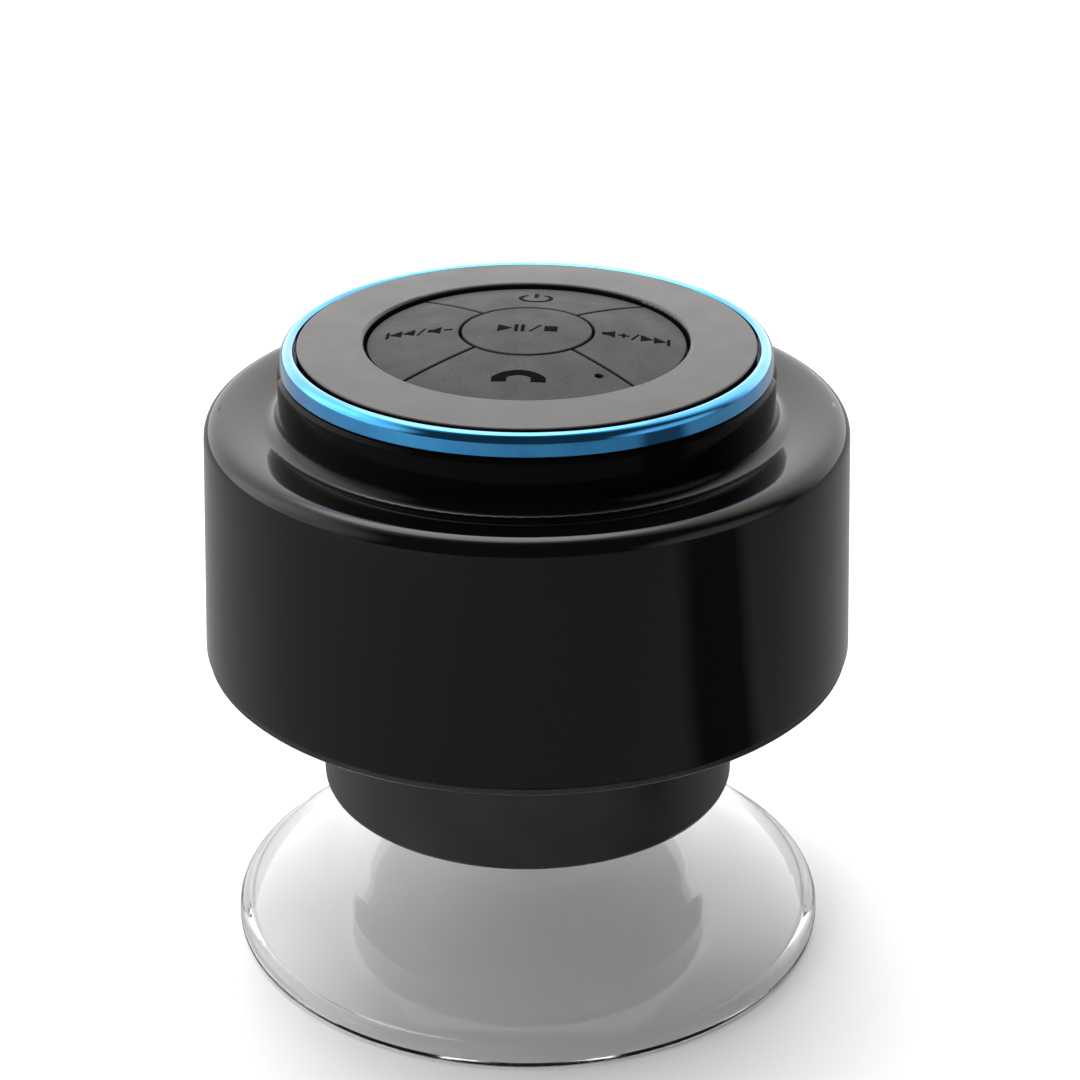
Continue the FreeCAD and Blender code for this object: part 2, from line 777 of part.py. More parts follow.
def make_trim_ring():
    """Blue plated ring with a rolled top edge, seated on the neck round the rim."""
    ring = Piece("trim_ring")
    bore = D.rim_radius + 0.1
    step = Z_RING + D.rim_height + 0.1
    ring.revolve(
        [
            (D.ring_bore, step),
            (bore, step),
            (bore, Z_RING),
            (D.ring_radius + D.ring_flare, Z_RING),
            (D.ring_radius, Z_TOP - 1.5),
            (D.ring_bore + 0.8, Z_TOP - 0.15, 1.4),
            (D.ring_bore, Z_TOP - 0.4, 0.9),
        ]
    )
    ring.round_rims(0.3, (D.ring_radius + D.ring_flare, Z_RING))


def make_fascia():
    """Satin cover ring, slightly crowned, rolled over into the keypad well, with four screw posts."""
    fascia = Piece("fascia")
    well = D.keypad_radius + D.key_gap
    seat = Z_RING + D.rim_height + 0.08
    crown = Z_TOP + D.fascia_crown
    fascia.revolve(
        [
            (well, Z_CLAMP),
            (D.control_board_radius, Z_CLAMP),
            (D.control_board_radius, seat),
            (D.fascia_radius, seat),
            (D.fascia_radius, Z_TOP - 0.35),
            (D.fascia_radius - 0.35, Z_TOP, 0.35),
            (well + 0.5, crown, 220.0),
            (well, crown - 0.5, 0.52),
        ]
    )
    posts = around(D.fascia_post_circle, DIAGONALS)
    fascia.cylinders(posts, D.fascia_post_radius, Z_DECK + 0.02, seat + OVERLAP)
    fascia.holes(posts, D.small_screw_radius + D.pilot_gap, Z_DECK + 0.02, Z_DECK + 4.6)


def dome_height(radius):
    """The height of the keypad's crowned surface at this distance from the axis."""
    big = D.key_dome_radius
    radius = size(radius)
    return Z_APEX - big + (big * big - radius * radius).root()


def make_play_button():
    """Round middle key with the stem that presses its switch."""
    key = Piece("play_button")
    stem = Z_PLUNGER_TOP + 0.02
    rim = D.play_key_radius
    key.revolve(
        [
            (0, stem),
            (D.key_stem_radius, stem),
            (D.key_stem_radius, Z_KEY),
            (rim, Z_KEY),
            (rim, dome_height(rim)),
            (0, Z_APEX, D.key_dome_radius),
        ]
    )
    key.round_rims(D.key_edge_round, (rim, dome_height(rim)))


def make_segment_button(label, turn, microphone=False):
    """One of the four keys round the play key, drawn facing -Y and then turned into place."""
    key = Piece(label)
    inner, outer = D.play_key_radius + D.key_gap, D.keypad_radius
    stem = Z_PLUNGER_TOP + 0.02
    key.revolve(
        [
            (inner, Z_KEY),
            (outer, Z_KEY),
            (outer, dome_height(outer)),
            (inner, dome_height(inner), D.key_dome_radius),
        ]
    )
    apex = D.key_gap * 0.7071
    reach = D.keypad_radius + 4.0
    trim = key.sketch("XY_Plane", Z_APEX)
    draw_outline(
        trim,
        [(0, -apex), (reach, -reach - apex), (reach, reach), (-reach, reach), (-reach, -reach - apex)],
    )
    key.pocket(trim, Z_APEX - Z_KEY)
    edge = dome_height(outer).value - 0.2
    key.round_edges(D.key_edge_round, lambda e: all(v.Z > edge for v in e.Vertexes))
    key.cylinders([(0, -D.key_circle)], D.key_stem_radius, stem, Z_KEY + OVERLAP)
    if microphone:
        place = (D.microphone_side, -D.microphone_front)
        key.holes([place], 0.65, Z_KEY, Z_APEX)
    key.body.Placement = FreeCAD.Placement(
        FreeCAD.Vector(0, 0, 0), FreeCAD.Rotation(FreeCAD.Vector(0, 0, 1), turn)
    )
    doc.recompute()


def make_keypad_membrane():
    """Silicone sheet under the keys. Its thick rim is clamped by the fascia and seals the pod."""
    web = Piece("keypad_membrane")
    rim = D.keypad_radius + 0.7
    web.revolve(
        [
            (0, Z_WEB),
            (D.control_board_radius, Z_WEB),
            (D.control_board_radius, Z_CLAMP),
            (rim, Z_CLAMP),
            (rim, Z_WEB_TOP),
            (0, Z_WEB_TOP),
        ]
    )
    web.holes(key_centres(), D.key_stem_radius + 0.15, Z_WEB, Z_WEB_TOP)
    web.holes([(D.microphone_side, -D.microphone_front)], 0.8, Z_WEB, Z_WEB_TOP)


def make_keypad_spacer():
    """Ring that carries the membrane's rim above the control board."""
    spacer = Piece("keypad_spacer")
    outer = D.control_board_radius
    inner = outer - 2.2
    spacer.revolve([(inner, Z_CONTROL_TOP), (outer, Z_CONTROL_TOP), (outer, Z_WEB), (inner, Z_WEB)])


# ---------------------------------------------------------------- control board


def make_control_board():
    """Round board that carries the five switches and the microphone."""
    board = Piece("control_board")
    board.cylinders([(0, 0)], D.control_board_radius, Z_CONTROL, Z_CONTROL_TOP)
    hole = D.small_screw_radius + D.screw_gap
    board.holes(around(D.control_screw_circle, DIAGONALS), hole, Z_CONTROL, Z_CONTROL_TOP)


def make_tact_switches():
    """The bodies of the five push switches, each with a well for its plunger."""
    switches = Piece("tact_switches")
    half = D.switch_width / 2
    made = switches.sketch("XY_Plane", Z_CONTROL_TOP)
    for x, y in key_centres():
        draw_outline(
            made, [(x - half, y - half), (x + half, y - half), (x + half, y + half), (x - half, y + half)]
        )
    switches.pad(made, D.switch_height)
    switches.holes(key_centres(), D.plunger_radius + 0.1, Z_SWITCH_TOP - 0.9, Z_SWITCH_TOP)


def make_plungers():
    """One plunger for each key, in its own node because it travels with its key."""
    names = ["play", "power", "volume_down", "call", "volume_up"]
    for name, centre in zip(names, key_centres()):
        plunger = Piece(f"{name}_plunger")
        plunger.cylinders([centre], D.plunger_radius, Z_SWITCH_TOP - 0.45, Z_PLUNGER_TOP)


def make_microphone():
    """Round capsule on the control board, under the hole in the handset key, in a rubber boot."""
    place = [(D.microphone_side, -D.microphone_front)]
    capsule = Piece("microphone")
    capsule.cylinders(place, 2.0, Z_CONTROL_TOP, Z_CONTROL_TOP + 1.6)
    capsule.holes(place, 0.5, Z_CONTROL_TOP + 1.3, Z_CONTROL_TOP + 1.6)
    boot = Piece("microphone_boot")
    boot.cylinders(place, 2.7, Z_CONTROL_TOP, Z_WEB)
    boot.holes(place, 2.05, Z_CONTROL_TOP, Z_CONTROL_TOP + 1.65)
    boot.holes(place, 0.8, Z_CONTROL_TOP, Z_WEB)


def make_control_cable():
    """Flat cable from the control board to the main board, with the socket under the control board."""
    socket = Piece("control_socket")
    socket.block(*RIBBON_PLUG, Z_CONTROL - PLUG_HEIGHT, Z_CONTROL)
    ribbon = Piece("control_cable")
    ribbon.block(*RIBBON, Z_MAIN_TOP + RIBBON_SOCKET_HEIGHT, Z_CONTROL - PLUG_HEIGHT)


# ---------------------------------------------------------------- main board, battery and port


def make_main_board():
    """Round board with a tongue at the back that carries the charging socket."""
    board = Piece("main_board")
    board.cylinders([(0, 0)], D.main_board_radius, Z_MAIN, Z_MAIN_TOP)
    board.block(*BOARD_TONGUE, Z_MAIN, Z_MAIN_TOP)
    hole = D.main_screw_radius + D.screw_gap
    board.holes(around(D.main_post_circle, BOARD_POST_ANGLES), hole, Z_MAIN, Z_MAIN_TOP)


def make_board_components():
    """The larger components that stand on the main board."""
    module = Piece("bluetooth_module")
    module.block(*RADIO_MODULE, Z_MAIN_TOP, Z_MAIN_TOP + RADIO_HEIGHT)
    lid = Z_MAIN_TOP.value + RADIO_HEIGHT
    module.round_edges(0.4, lambda e: all(abs(v.Z - lid) < NEAR for v in e.Vertexes))
    chips = Piece("amplifier_chips")
    for place in CHIPS:
        chips.block(*place, Z_MAIN_TOP, Z_MAIN_TOP + CHIP_HEIGHT)
    coils = Piece("inductors")
    for place in COILS:
        coils.block(*place, Z_MAIN_TOP, Z_MAIN_TOP + COIL_HEIGHT)
    cans = Piece("capacitors")
    cans.cylinders(CAN_CENTRES, CAN_RADIUS, Z_MAIN_TOP, Z_MAIN_TOP + CAN_HEIGHT)
    rims = Z_MAIN_TOP.value + CAN_HEIGHT
    cans.round_edges(0.5, lambda e: all(abs(v.Z - rims) < NEAR for v in e.Vertexes))
    sockets = Piece("cable_sockets")
    sockets.block(*RIBBON_PLUG, Z_MAIN_TOP, Z_MAIN_TOP + RIBBON_SOCKET_HEIGHT)
    for place in WIRE_SOCKETS:
        sockets.block(*place, Z_MAIN_TOP, Z_MAIN_TOP + WIRE_SOCKET_HEIGHT)


def make_charging_socket():
    """Steel shell of the charging socket, open at the back, and the contact tongue in it."""
    shell = Piece("charging_socket")
    low, high = Z_MAIN_TOP, Z_MAIN_TOP + PORT_SOCKET_HEIGHT
    shell.block(*PORT_SOCKET, low, high)
    hollow = shell.sketch("XZ_Plane", -36.6)
    draw_outline(
        hollow,
        [(-3.5, low + 0.9), (-2.9, low + 0.3), (2.9, low + 0.3), (3.5, low + 0.9), (3.5, high - 0.3),
         (-3.5, high - 0.3)],
    )
    shell.pocket(hollow, 6.0)
    tongue = Piece("charging_contacts")
    tongue.block(*PORT_TONGUE, low + 1.5, low + 2.1)


def make_battery():
    """Pouch cell taped under the deck, with its protection board at one end."""
    high = Z_DECK_UNDER - D.tape_thickness
    low = high - D.battery_thickness
    half, side = D.battery_length / 2, D.battery_width / 2
    cell = Piece("battery_cell")
    cell.block(-half, half, -side, side, low, high)
    cell.round_edges(1.6, lambda e: abs(e.tangentAt(e.FirstParameter).x) > 0.99)
    circuit = Piece("battery_circuit")
    circuit.block(-half - 1.6, -half - 0.1, -12.0, 12.0, low + 1.5, high - 1.5)
    tape = Piece("battery_tape")
    tape.block(-half + 3.0, half - 3.0, -side + 4.0, side - 4.0, high, Z_DECK_UNDER)


def make_cables():
    """Pairs of wires from the battery and the speaker to their sockets on the main board."""
    board = Z_MAIN_TOP.value
    battery = Z_DECK_UNDER.value - D.tape_thickness.value - D.battery_thickness.value / 2
    edge = -D.battery_length.value / 2 - 1.6
    socket = 28.3
    wires = []
    for side in (-1.1, 1.1):
        points = [
            (edge, side, battery),
            (edge - 3.2, side, battery - 1.4),
            (-socket, side, board + WIRE_SOCKET_HEIGHT),
        ]
        wires.append(cable(points, WIRE_RADIUS, (-1, 0, 0), (0, 0, -1)))
    keep_shape("battery_cable", Part.makeCompound(wires))
    tags = Z_SPEAKER.value + 1.6
    wires = []
    for side in (-1, 1):
        points = [
            (side * 3.0, -25.0, tags),
            (2.0 + side * 2.0, -25.0, tags + 8.0),
            (6.0 + side * 1.4, -25.0 + side * 0.5, tags + 14.5),
            (21.5 + side * 0.6, -28.0 + side * 0.9, tags + 21.0),
            (32.2 + side * 0.5, -18.8 + side, board - 3.5),
            (32.2 + side * 0.5, -14.0 + side, board + 2.2),
            (31.0 + side * 0.4, -6.0 + side, board + 2.6),
            (30.5, side, board + 2.6),
        ]
        wires.append(cable(points, WIRE_RADIUS, (0, 0, 1), (-1, 0, 0)))
    keep_shape("speaker_cable", Part.makeCompound(wires))


def body_envelope(inset):
    """The outside of the glossy shell, moved in by inset, as a solid to trim the port cover with."""
    low, high = Z_SHELL.value, Z_SHOULDER.value
    wide = D.body_radius.value - inset
    narrow = wide - D.body_draft.value
    return Part.makeCone(wide, narrow, high - low, FreeCAD.Vector(0, 0, low))


def port_slab(half_width, low, high, corner, floor, thickness):
    """A rounded slab in the XZ plane, starting at y = floor and growing outwards."""
    w, c = half_width, corner
    points = [(-w + c, low), (w - c, low), (w, low + c), (w, high - c), (w - c, high), (-w + c, high),
              (-w, high - c), (-w, low + c)]
    bend = c * (1 - math.sqrt(0.5))
    middles = [None, (w - bend, low + bend), None, (w - bend, high - bend), None,
               (-w + bend, high - bend), None, (-w + bend, low + bend)]
    edges = []
    for i, middle in enumerate(middles):
        a, b = points[i], points[(i + 1) % 8]
        ends = [FreeCAD.Vector(a[0], floor, a[1]), FreeCAD.Vector(b[0], floor, b[1])]
        if middle is None:
            edges.append(Part.LineSegment(*ends).toShape())
        else:
            bulge = FreeCAD.Vector(middle[0], floor, middle[1])
            edges.append(Part.Arc(ends[0], bulge, ends[1]).toShape())
    return Part.Face(Part.Wire(edges)).extrude(FreeCAD.Vector(0, thickness, 0))


def make_port_cover():
    """Rubber flap over the charging port and the fixed tab that it hinges on, both trimmed to the
    body's round outside. The flap's foot is a round bead on the hinge line."""
    floor = D.port_floor.value + 0.1
    port, hinge = Z_PORT.value, Z_HINGE.value
    half = D.port_width.value / 2 - 0.15
    corner = D.port_corner.value - 0.15
    high = port + D.port_top.value - 0.3
    low = port - D.port_foot.value + 0.15
    outside = body_envelope(0.05)
    flap = port_slab(half, hinge + 0.3, high, corner, floor, 5.0).common(outside)
    wide, below, above, bend, depth = PORT_PLUG.values()
    plug = port_slab(wide, port - below, port + above, bend, floor - depth, depth + 0.1)
    length = D.port_bead_length.value
    bead = Part.makeCylinder(
        D.port_bead_radius.value,
        length,
        FreeCAD.Vector(-length / 2, D.port_hinge_place.value, hinge),
        FreeCAD.Vector(1, 0, 0),
    )
    keep_shape("port_cover", flap.fuse([plug, bead]).removeSplitter())
    tab = port_slab(half, low, hinge - 1.2, corner, floor, 5.0).common(outside)
    behind = FreeCAD.Vector(0, floor - 1.4, port - PORT_ANCHOR_DROP)
    button = Part.makeCylinder(PORT_ANCHOR_RADIUS, 1.5, behind, FreeCAD.Vector(0, 1, 0))
    keep_shape("port_cover_tab", tab.fuse(button).removeSplitter())


# ---------------------------------------------------------------- loudspeaker, facing down


def make_speaker_frame():
    """Gasket, pressed steel basket with four windows, and the terminal strip on its flange."""
    gasket = Piece("speaker_gasket")
    outer, inner = D.speaker_radius + 0.1, D.ledge_bore
    gasket.revolve([(inner, Z_LEDGE), (outer, Z_LEDGE), (outer, Z_SPEAKER), (inner, Z_SPEAKER)])
    screws, hole = around(D.speaker_screw_circle, DIAGONALS), D.speaker_screw_radius + D.screw_gap
    gasket.holes(screws, hole, Z_LEDGE, Z_SPEAKER)
    basket = Piece("speaker_basket")
    top = Z_FRONT_PLATE
    basket.revolve(
        [
            (21.6, Z_SPEAKER),
            (D.speaker_radius, Z_SPEAKER),
            (D.speaker_radius, Z_SPEAKER + 0.8),
            (23.2, Z_SPEAKER + 0.8),
            (18.6, top - 2.0),
            (16.6, top - 1.6),
            (16.6, top),
            (8.4, top),
            (8.4, top - 0.8),
            (15.8, top - 0.8),
            (15.8, top - 2.4),
            (18.0, top - 2.7),
            (22.3, Z_SPEAKER + 0.7),
            (21.6, Z_SPEAKER + 0.7),
        ]
    )
    window = basket.sketch("XY_Plane", top - 3.4)
    draw_outline(window, [(12.0, -6.5), (26.0, -6.5), (26.0, 6.5), (12.0, 6.5)])
    cut = basket.pocket(window, size(top - 3.4) - (Z_SPEAKER + 1.8))
    basket.polar(cut, BASKET_WINDOWS)
    basket.holes(screws, hole, Z_SPEAKER, Z_SPEAKER + 0.8)
    strip = Piece("terminal_strip")
    seat = Z_SPEAKER + 0.8
    strip.block(*TERMINAL_STRIP, seat, seat + 0.8)


def make_speaker_motor():
    """Front plate, ring magnet, and the back plate with its pole in one piece."""
    front = Piece("front_plate")
    gap, edge = D.gap_radius, D.plate_radius
    front.revolve([(gap, Z_FRONT_PLATE), (edge, Z_FRONT_PLATE), (edge, Z_MAGNET), (gap, Z_MAGNET)])
    magnet = Piece("ring_magnet")
    bore, edge = D.magnet_bore, D.magnet_radius
    magnet.revolve([(bore, Z_MAGNET), (edge, Z_MAGNET), (edge, Z_YOKE), (bore, Z_YOKE)])
    magnet.round_rims(0.5, (edge, Z_MAGNET), (edge, Z_YOKE))
    yoke = Piece("back_plate")
    top = Z_YOKE + D.plate_thickness
    yoke.revolve(
        [
            (0, Z_FRONT_PLATE + 0.2),
            (D.pole_radius - 0.4, Z_FRONT_PLATE + 0.2),
            (D.pole_radius, Z_FRONT_PLATE + 0.6),
            (D.pole_radius, Z_YOKE),
            (D.plate_radius, Z_YOKE),
            (D.plate_radius, top - 0.6),
            (D.plate_radius - 0.6, top),
            (0, top),
        ]
    )


def make_moving_system():
    """Cone, dust cap, coil former and winding: the pieces that move together."""
    neck = D.former_radius + 0.03
    cone_top = Z_SPEAKER + 7.4
    cone = Piece("speaker_cone")
    cone.revolve(
        [
            (neck, cone_top),
            (neck, cone_top - 0.4),
            (D.cone_radius, Z_SPEAKER + 0.05),
            (D.cone_radius, Z_SPEAKER + 0.45),
        ]
    )
    cap = Piece("dust_cap")
    rim = cone_top - 1.75
    bend = cap_radius(8.4, 2.0)
    cap.revolve([(0, rim - 2.0), (8.4, rim, bend), (8.4, rim + 0.3), (0, rim - 1.7, -bend)])
    former = Piece("coil_former")
    former.revolve(
        [
            (D.former_bore, cone_top - 0.9),
            (D.former_radius, cone_top - 0.9),
            (D.former_radius, Z_MAGNET + 0.9),
            (D.former_bore, Z_MAGNET + 0.9),
        ]
    )
    winding = Piece("coil_winding")
    low, high = Z_FRONT_PLATE, Z_MAGNET + 0.4
    bore = D.former_radius + 0.01
    winding.revolve(
        [(bore, low), (D.winding_radius, low), (D.winding_radius, high), (bore, high)]
    )


def make_suspension():
    """Rubber surround with a half roll, and the corrugated spider behind the cone."""
    surround = Piece("cone_surround")
    lip, thin = Z_SPEAKER - 0.38, 0.3
    inner, outer = D.cone_radius + 0.1, size(21.4)
    roll = (outer - inner) / 2 + 0.02
    surround.revolve(
        [
            (inner - 1.0, lip),
            (inner, lip),
            (outer, lip, roll),
            (outer + 1.4, lip),
            (outer + 1.4, lip + thin),
            (outer - thin, lip + thin),
            (inner + thin, lip + thin, -(roll - thin)),
            (inner - 1.0, lip + thin),
        ]
    )
    spider = Piece("spider")
    level, thin = Z_FRONT_PLATE - 3.45, 0.3
    start, pitch, waves = D.former_radius + 0.03, 1.5, 3
    below = [(start, level), (start + 1.0, level)]
    for wave in range(waves):
        at = start + 1.0 + pitch * 2 * wave
        below.append((at + pitch, level, 0.9))
        below.append((at + pitch * 2, level, -0.9))
    edge = start + 1.0 + pitch * 2 * waves
    above = [(edge + 0.6, level), (edge + 0.6, level + thin), (edge, level + thin)]
    for wave in reversed(range(waves)):
        at = start + 1.0 + pitch * 2 * wave
        above.append((at + pitch, level + thin, 0.9))
        above.append((at, level + thin, -0.9))
    above.append((start, level + thin))
    spider.revolve(below + above)


def make_tinsel_leads():
    """Two braided leads from the cone to the terminal strip."""
    flange = Z_SPEAKER.value
    leads = []
    for side in (-1, 1):
        points = [
            (side * 3.4, -11.5, flange + 5.6),
            (side * 3.6, -15.5, flange + 5.4),
            (side * 3.4, -20.0, flange + 4.2),
            (side * 3.2, -24.0, flange + 1.95),
        ]
        leads.append(cable(points, LEAD_RADIUS, (0, -1, 0.1), (0, -1, -0.8)))
    keep_shape("tinsel_leads", Part.makeCompound(leads))


def make_all_screws():
    """The five sets of screws."""
    low = Z_BODY + D.housing_head_depth
    add_screws(
        "housing_screws", around(D.column_circle, COLUMN_ANGLES), D.housing_head_radius,
        D.housing_head_height, D.housing_screw_radius, low, low + D.housing_screw_length,
    )
    small = D.small_head_radius, D.small_head_height, D.small_screw_radius
    add_screws("fascia_screws", around(D.fascia_post_circle, DIAGONALS), *small,
               Z_DECK_UNDER, Z_DECK + 4.2)
    add_screws("control_board_screws", around(D.control_screw_circle, DIAGONALS), *small,
               Z_CONTROL_TOP, Z_DECK_UNDER + 0.4, up=False)
    add_screws("main_board_screws", around(D.main_post_circle, BOARD_POST_ANGLES), D.main_head_radius,
               D.main_head_height, D.main_screw_radius, Z_MAIN, Z_MAIN_TOP + 5.0)
    add_screws("speaker_screws", around(D.speaker_screw_circle, DIAGONALS), D.speaker_head_radius,
               D.speaker_head_height, D.speaker_screw_radius, Z_SPEAKER + 0.8, Z_LEDGE - 4.2, up=False)


def make_everything():
    make_suction_cup()
    make_cup_stud()
    make_cup_washer()
    make_stud_insert()
    make_lower_shell()
    make_upper_shell()
    make_housing_seal()
    make_trim_ring()
    make_fascia()
    make_play_button()
    make_segment_button("call_button", 0, microphone=True)
    make_segment_button("volume_up_button", 90)
    make_segment_button("power_button", 180)
    make_segment_button("volume_down_button", 270)
    make_keypad_membrane()
    make_keypad_spacer()
    make_control_board()
    make_tact_switches()
    make_plungers()
    make_microphone()
    make_control_cable()
    make_main_board()
    make_board_components()
    make_charging_socket()
    make_battery()
    make_cables()
    make_port_cover()
    make_speaker_frame()
    make_speaker_motor()
    make_moving_system()
    make_suspension()
    make_tinsel_leads()
    make_all_screws()


def check_document():
    """Stops on any object that failed or any piece whose shape is missing or broken."""
    doc.recompute()
    for item in doc.Objects:
        if "Invalid" in item.State or "Error" in item.State:
            raise RuntimeError(f"{item.Name} is in state {item.State}")
    for label, item in pieces.items():
        if item.Shape.isNull() or not item.Shape.isValid() or not item.Shape.Solids:
            raise RuntimeError(f"{label} has no valid solid")


def write_parts():
    """Writes each piece to parts/LABEL.step."""
    os.makedirs("parts", exist_ok=True)
    for label, item in pieces.items():
        item.Shape.exportStep(f"parts/{label}.step")


make_everything()
check_document()
write_parts()
print(f"{len(pieces)} pieces written")
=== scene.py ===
import json
import math

import bmesh
import bpy
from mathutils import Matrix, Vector
from mathutils.bvhtree import BVHTree
from mathutils.geometry import delaunay_2d_cdt

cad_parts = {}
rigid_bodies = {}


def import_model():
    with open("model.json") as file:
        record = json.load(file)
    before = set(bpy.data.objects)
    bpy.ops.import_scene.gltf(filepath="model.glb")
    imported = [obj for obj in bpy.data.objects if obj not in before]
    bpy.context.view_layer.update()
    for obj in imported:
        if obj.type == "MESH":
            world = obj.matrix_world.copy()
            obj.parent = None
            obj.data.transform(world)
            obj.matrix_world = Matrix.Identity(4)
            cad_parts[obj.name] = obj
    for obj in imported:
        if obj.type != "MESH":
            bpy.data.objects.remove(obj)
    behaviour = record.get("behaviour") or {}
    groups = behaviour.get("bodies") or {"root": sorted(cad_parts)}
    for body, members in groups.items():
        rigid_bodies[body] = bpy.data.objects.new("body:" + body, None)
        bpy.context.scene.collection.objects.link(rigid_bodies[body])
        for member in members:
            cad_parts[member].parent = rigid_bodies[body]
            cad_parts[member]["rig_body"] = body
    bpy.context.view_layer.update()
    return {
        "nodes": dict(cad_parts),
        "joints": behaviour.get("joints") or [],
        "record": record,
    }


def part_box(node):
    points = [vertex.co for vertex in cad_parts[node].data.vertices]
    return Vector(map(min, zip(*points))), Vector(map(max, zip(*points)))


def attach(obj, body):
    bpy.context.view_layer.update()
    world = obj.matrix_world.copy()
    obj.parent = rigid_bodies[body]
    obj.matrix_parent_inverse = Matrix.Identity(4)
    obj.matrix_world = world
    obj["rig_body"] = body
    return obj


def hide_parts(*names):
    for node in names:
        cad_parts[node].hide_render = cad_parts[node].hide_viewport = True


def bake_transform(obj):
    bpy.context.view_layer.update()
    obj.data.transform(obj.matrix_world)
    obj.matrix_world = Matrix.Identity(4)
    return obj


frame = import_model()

# Shower speaker on its clear suction cup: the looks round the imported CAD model.
# Lengths are in metres; MM turns millimetres into them. +Z is up and -Y is the front.

MM = 0.001
NODES = frame["nodes"]
SLOTS = {entry["node"]: entry["material_slot"] for entry in frame["record"]["subparts"]}
SMOOTH_ANGLE = math.radians(32)


# ---------------------------------------------------------------- materials


class Look:
    """A node material being put together round one Principled shader."""

    def __init__(self, name, colour, roughness, metallic=0.0, **settings):
        self.material = bpy.data.materials.new(name)
        self.material.use_nodes = True
        self.tree = self.material.node_tree
        self.shader = self.tree.nodes["Principled BSDF"]
        self.place = self.node("ShaderNodeTexCoord").outputs["Object"]
        self.bump_end = None
        self.set(self.shader, {"Base Color": (*colour, 1), "Roughness": roughness, "Metallic": metallic})
        self.set(self.shader, settings)

    def node(self, kind, settings=None, **inputs):
        made = self.tree.nodes.new(kind)
        for name, value in inputs.items():
            setattr(made, name, value)
        self.set(made, settings or {})
        return made

    def set(self, node, values):
        for name, value in values.items():
            if isinstance(value, bpy.types.NodeSocket):
                self.tree.links.new(value, node.inputs[name])
            else:
                node.inputs[name].default_value = value

    def noise(self, size, detail=2.0, roughness=0.5, stretch=(1, 1, 1)):
        """Noise whose features are about this many metres across."""
        mapping = self.node("ShaderNodeMapping", {"Vector": self.place, "Scale": stretch})
        settings = {
            "Vector": mapping.outputs["Vector"],
            "Scale": 1 / size,
            "Detail": detail,
            "Roughness": roughness,
        }
        return self.node("ShaderNodeTexNoise", settings).outputs["Fac"]

    def cells(self, size):
        """Distances to scattered points that are about this many metres apart."""
        settings = {"Vector": self.place, "Scale": 1 / size}
        return self.node("ShaderNodeTexVoronoi", settings).outputs["Distance"]

    def spread(self, value, low, high, start=0.0, end=1.0):
        """Maps a value from start..end to low..high."""
        names = {"Value": value, "From Min": start, "From Max": end, "To Min": low, "To Max": high}
        return self.node("ShaderNodeMapRange", names).outputs["Result"]

    def mix(self, factor, first, second):
        """A colour between two colours. Each is red, green and blue, or another node's colour."""
        made = self.node("ShaderNodeMix", data_type="RGBA")
        first, second = ((*c, 1) if isinstance(c, tuple) else c for c in (first, second))
        self.set(made, {0: factor, 6: first, 7: second})
        return made.outputs[2]

    def colour(self, value):
        self.set(self.shader, {"Base Color": value})

    def roughness(self, value):
        self.set(self.shader, {"Roughness": value})

    def bump(self, value, depth, strength=1.0):
        """Adds relief of this depth in metres on top of any earlier relief."""
        settings = {"Height": value, "Distance": depth, "Strength": strength}
        if self.bump_end:
            settings["Normal"] = self.bump_end
        self.bump_end = self.node("ShaderNodeBump", settings).outputs["Normal"]
        self.set(self.shader, {"Normal": self.bump_end})
        return self


def gloss_black():
    """Polished ABS: a faint moulded ripple and hairline wipe marks. On the neck, which is what lies no
    further out than the trim ring, the reflection is turned down as painted shade for the dark things it
    mirrors."""
    look = Look("gloss_black_abs", (0.0015, 0.0014, 0.0014), 0.05, **{"IOR": 1.38})
    neck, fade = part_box("trim_ring")[1].x + 0.5 * MM, 0.9 * MM
    point = look.node("ShaderNodeNewGeometry").outputs["Position"]
    flat = look.node("ShaderNodeVectorMath", {0: point, 1: (1, 1, 0)}, operation="MULTIPLY")
    reach = look.node("ShaderNodeVectorMath", {0: flat.outputs[0]}, operation="LENGTH").outputs["Value"]
    # Painted shade: the neck's reflection is weakened so that it looks black, though it is the same gloss
    # plastic.
    look.set(look.shader, {"Specular IOR Level": look.spread(reach, 0.1, 0.5, neck, neck + fade)})
    ripple = look.noise(9 * MM, 1.0)
    wipes = look.noise(0.35 * MM, 3.0, 0.6, (1, 1, 0.06))
    look.roughness(look.spread(wipes, 0.03, 0.08, 0.35, 0.75))
    return look.bump(ripple, 0.012 * MM, 0.6).material


def satin_black():
    """Spark-eroded ABS of the drum and the underside."""
    look = Look("satin_black_abs", (0.014, 0.0136, 0.0132), 0.36, **{"IOR": 1.38})
    grain = look.noise(0.16 * MM, 3.0, 0.6)
    patches = look.noise(6 * MM, 3.0)
    look.roughness(look.spread(patches, 0.32, 0.42, 0.3, 0.7))
    shade = look.spread(patches, 0, 1, 0.3, 0.7)
    look.colour(look.mix(shade, (0.0115, 0.0112, 0.0108), (0.0165, 0.016, 0.0154)))
    return look.bump(grain, 0.02 * MM, 0.5).material


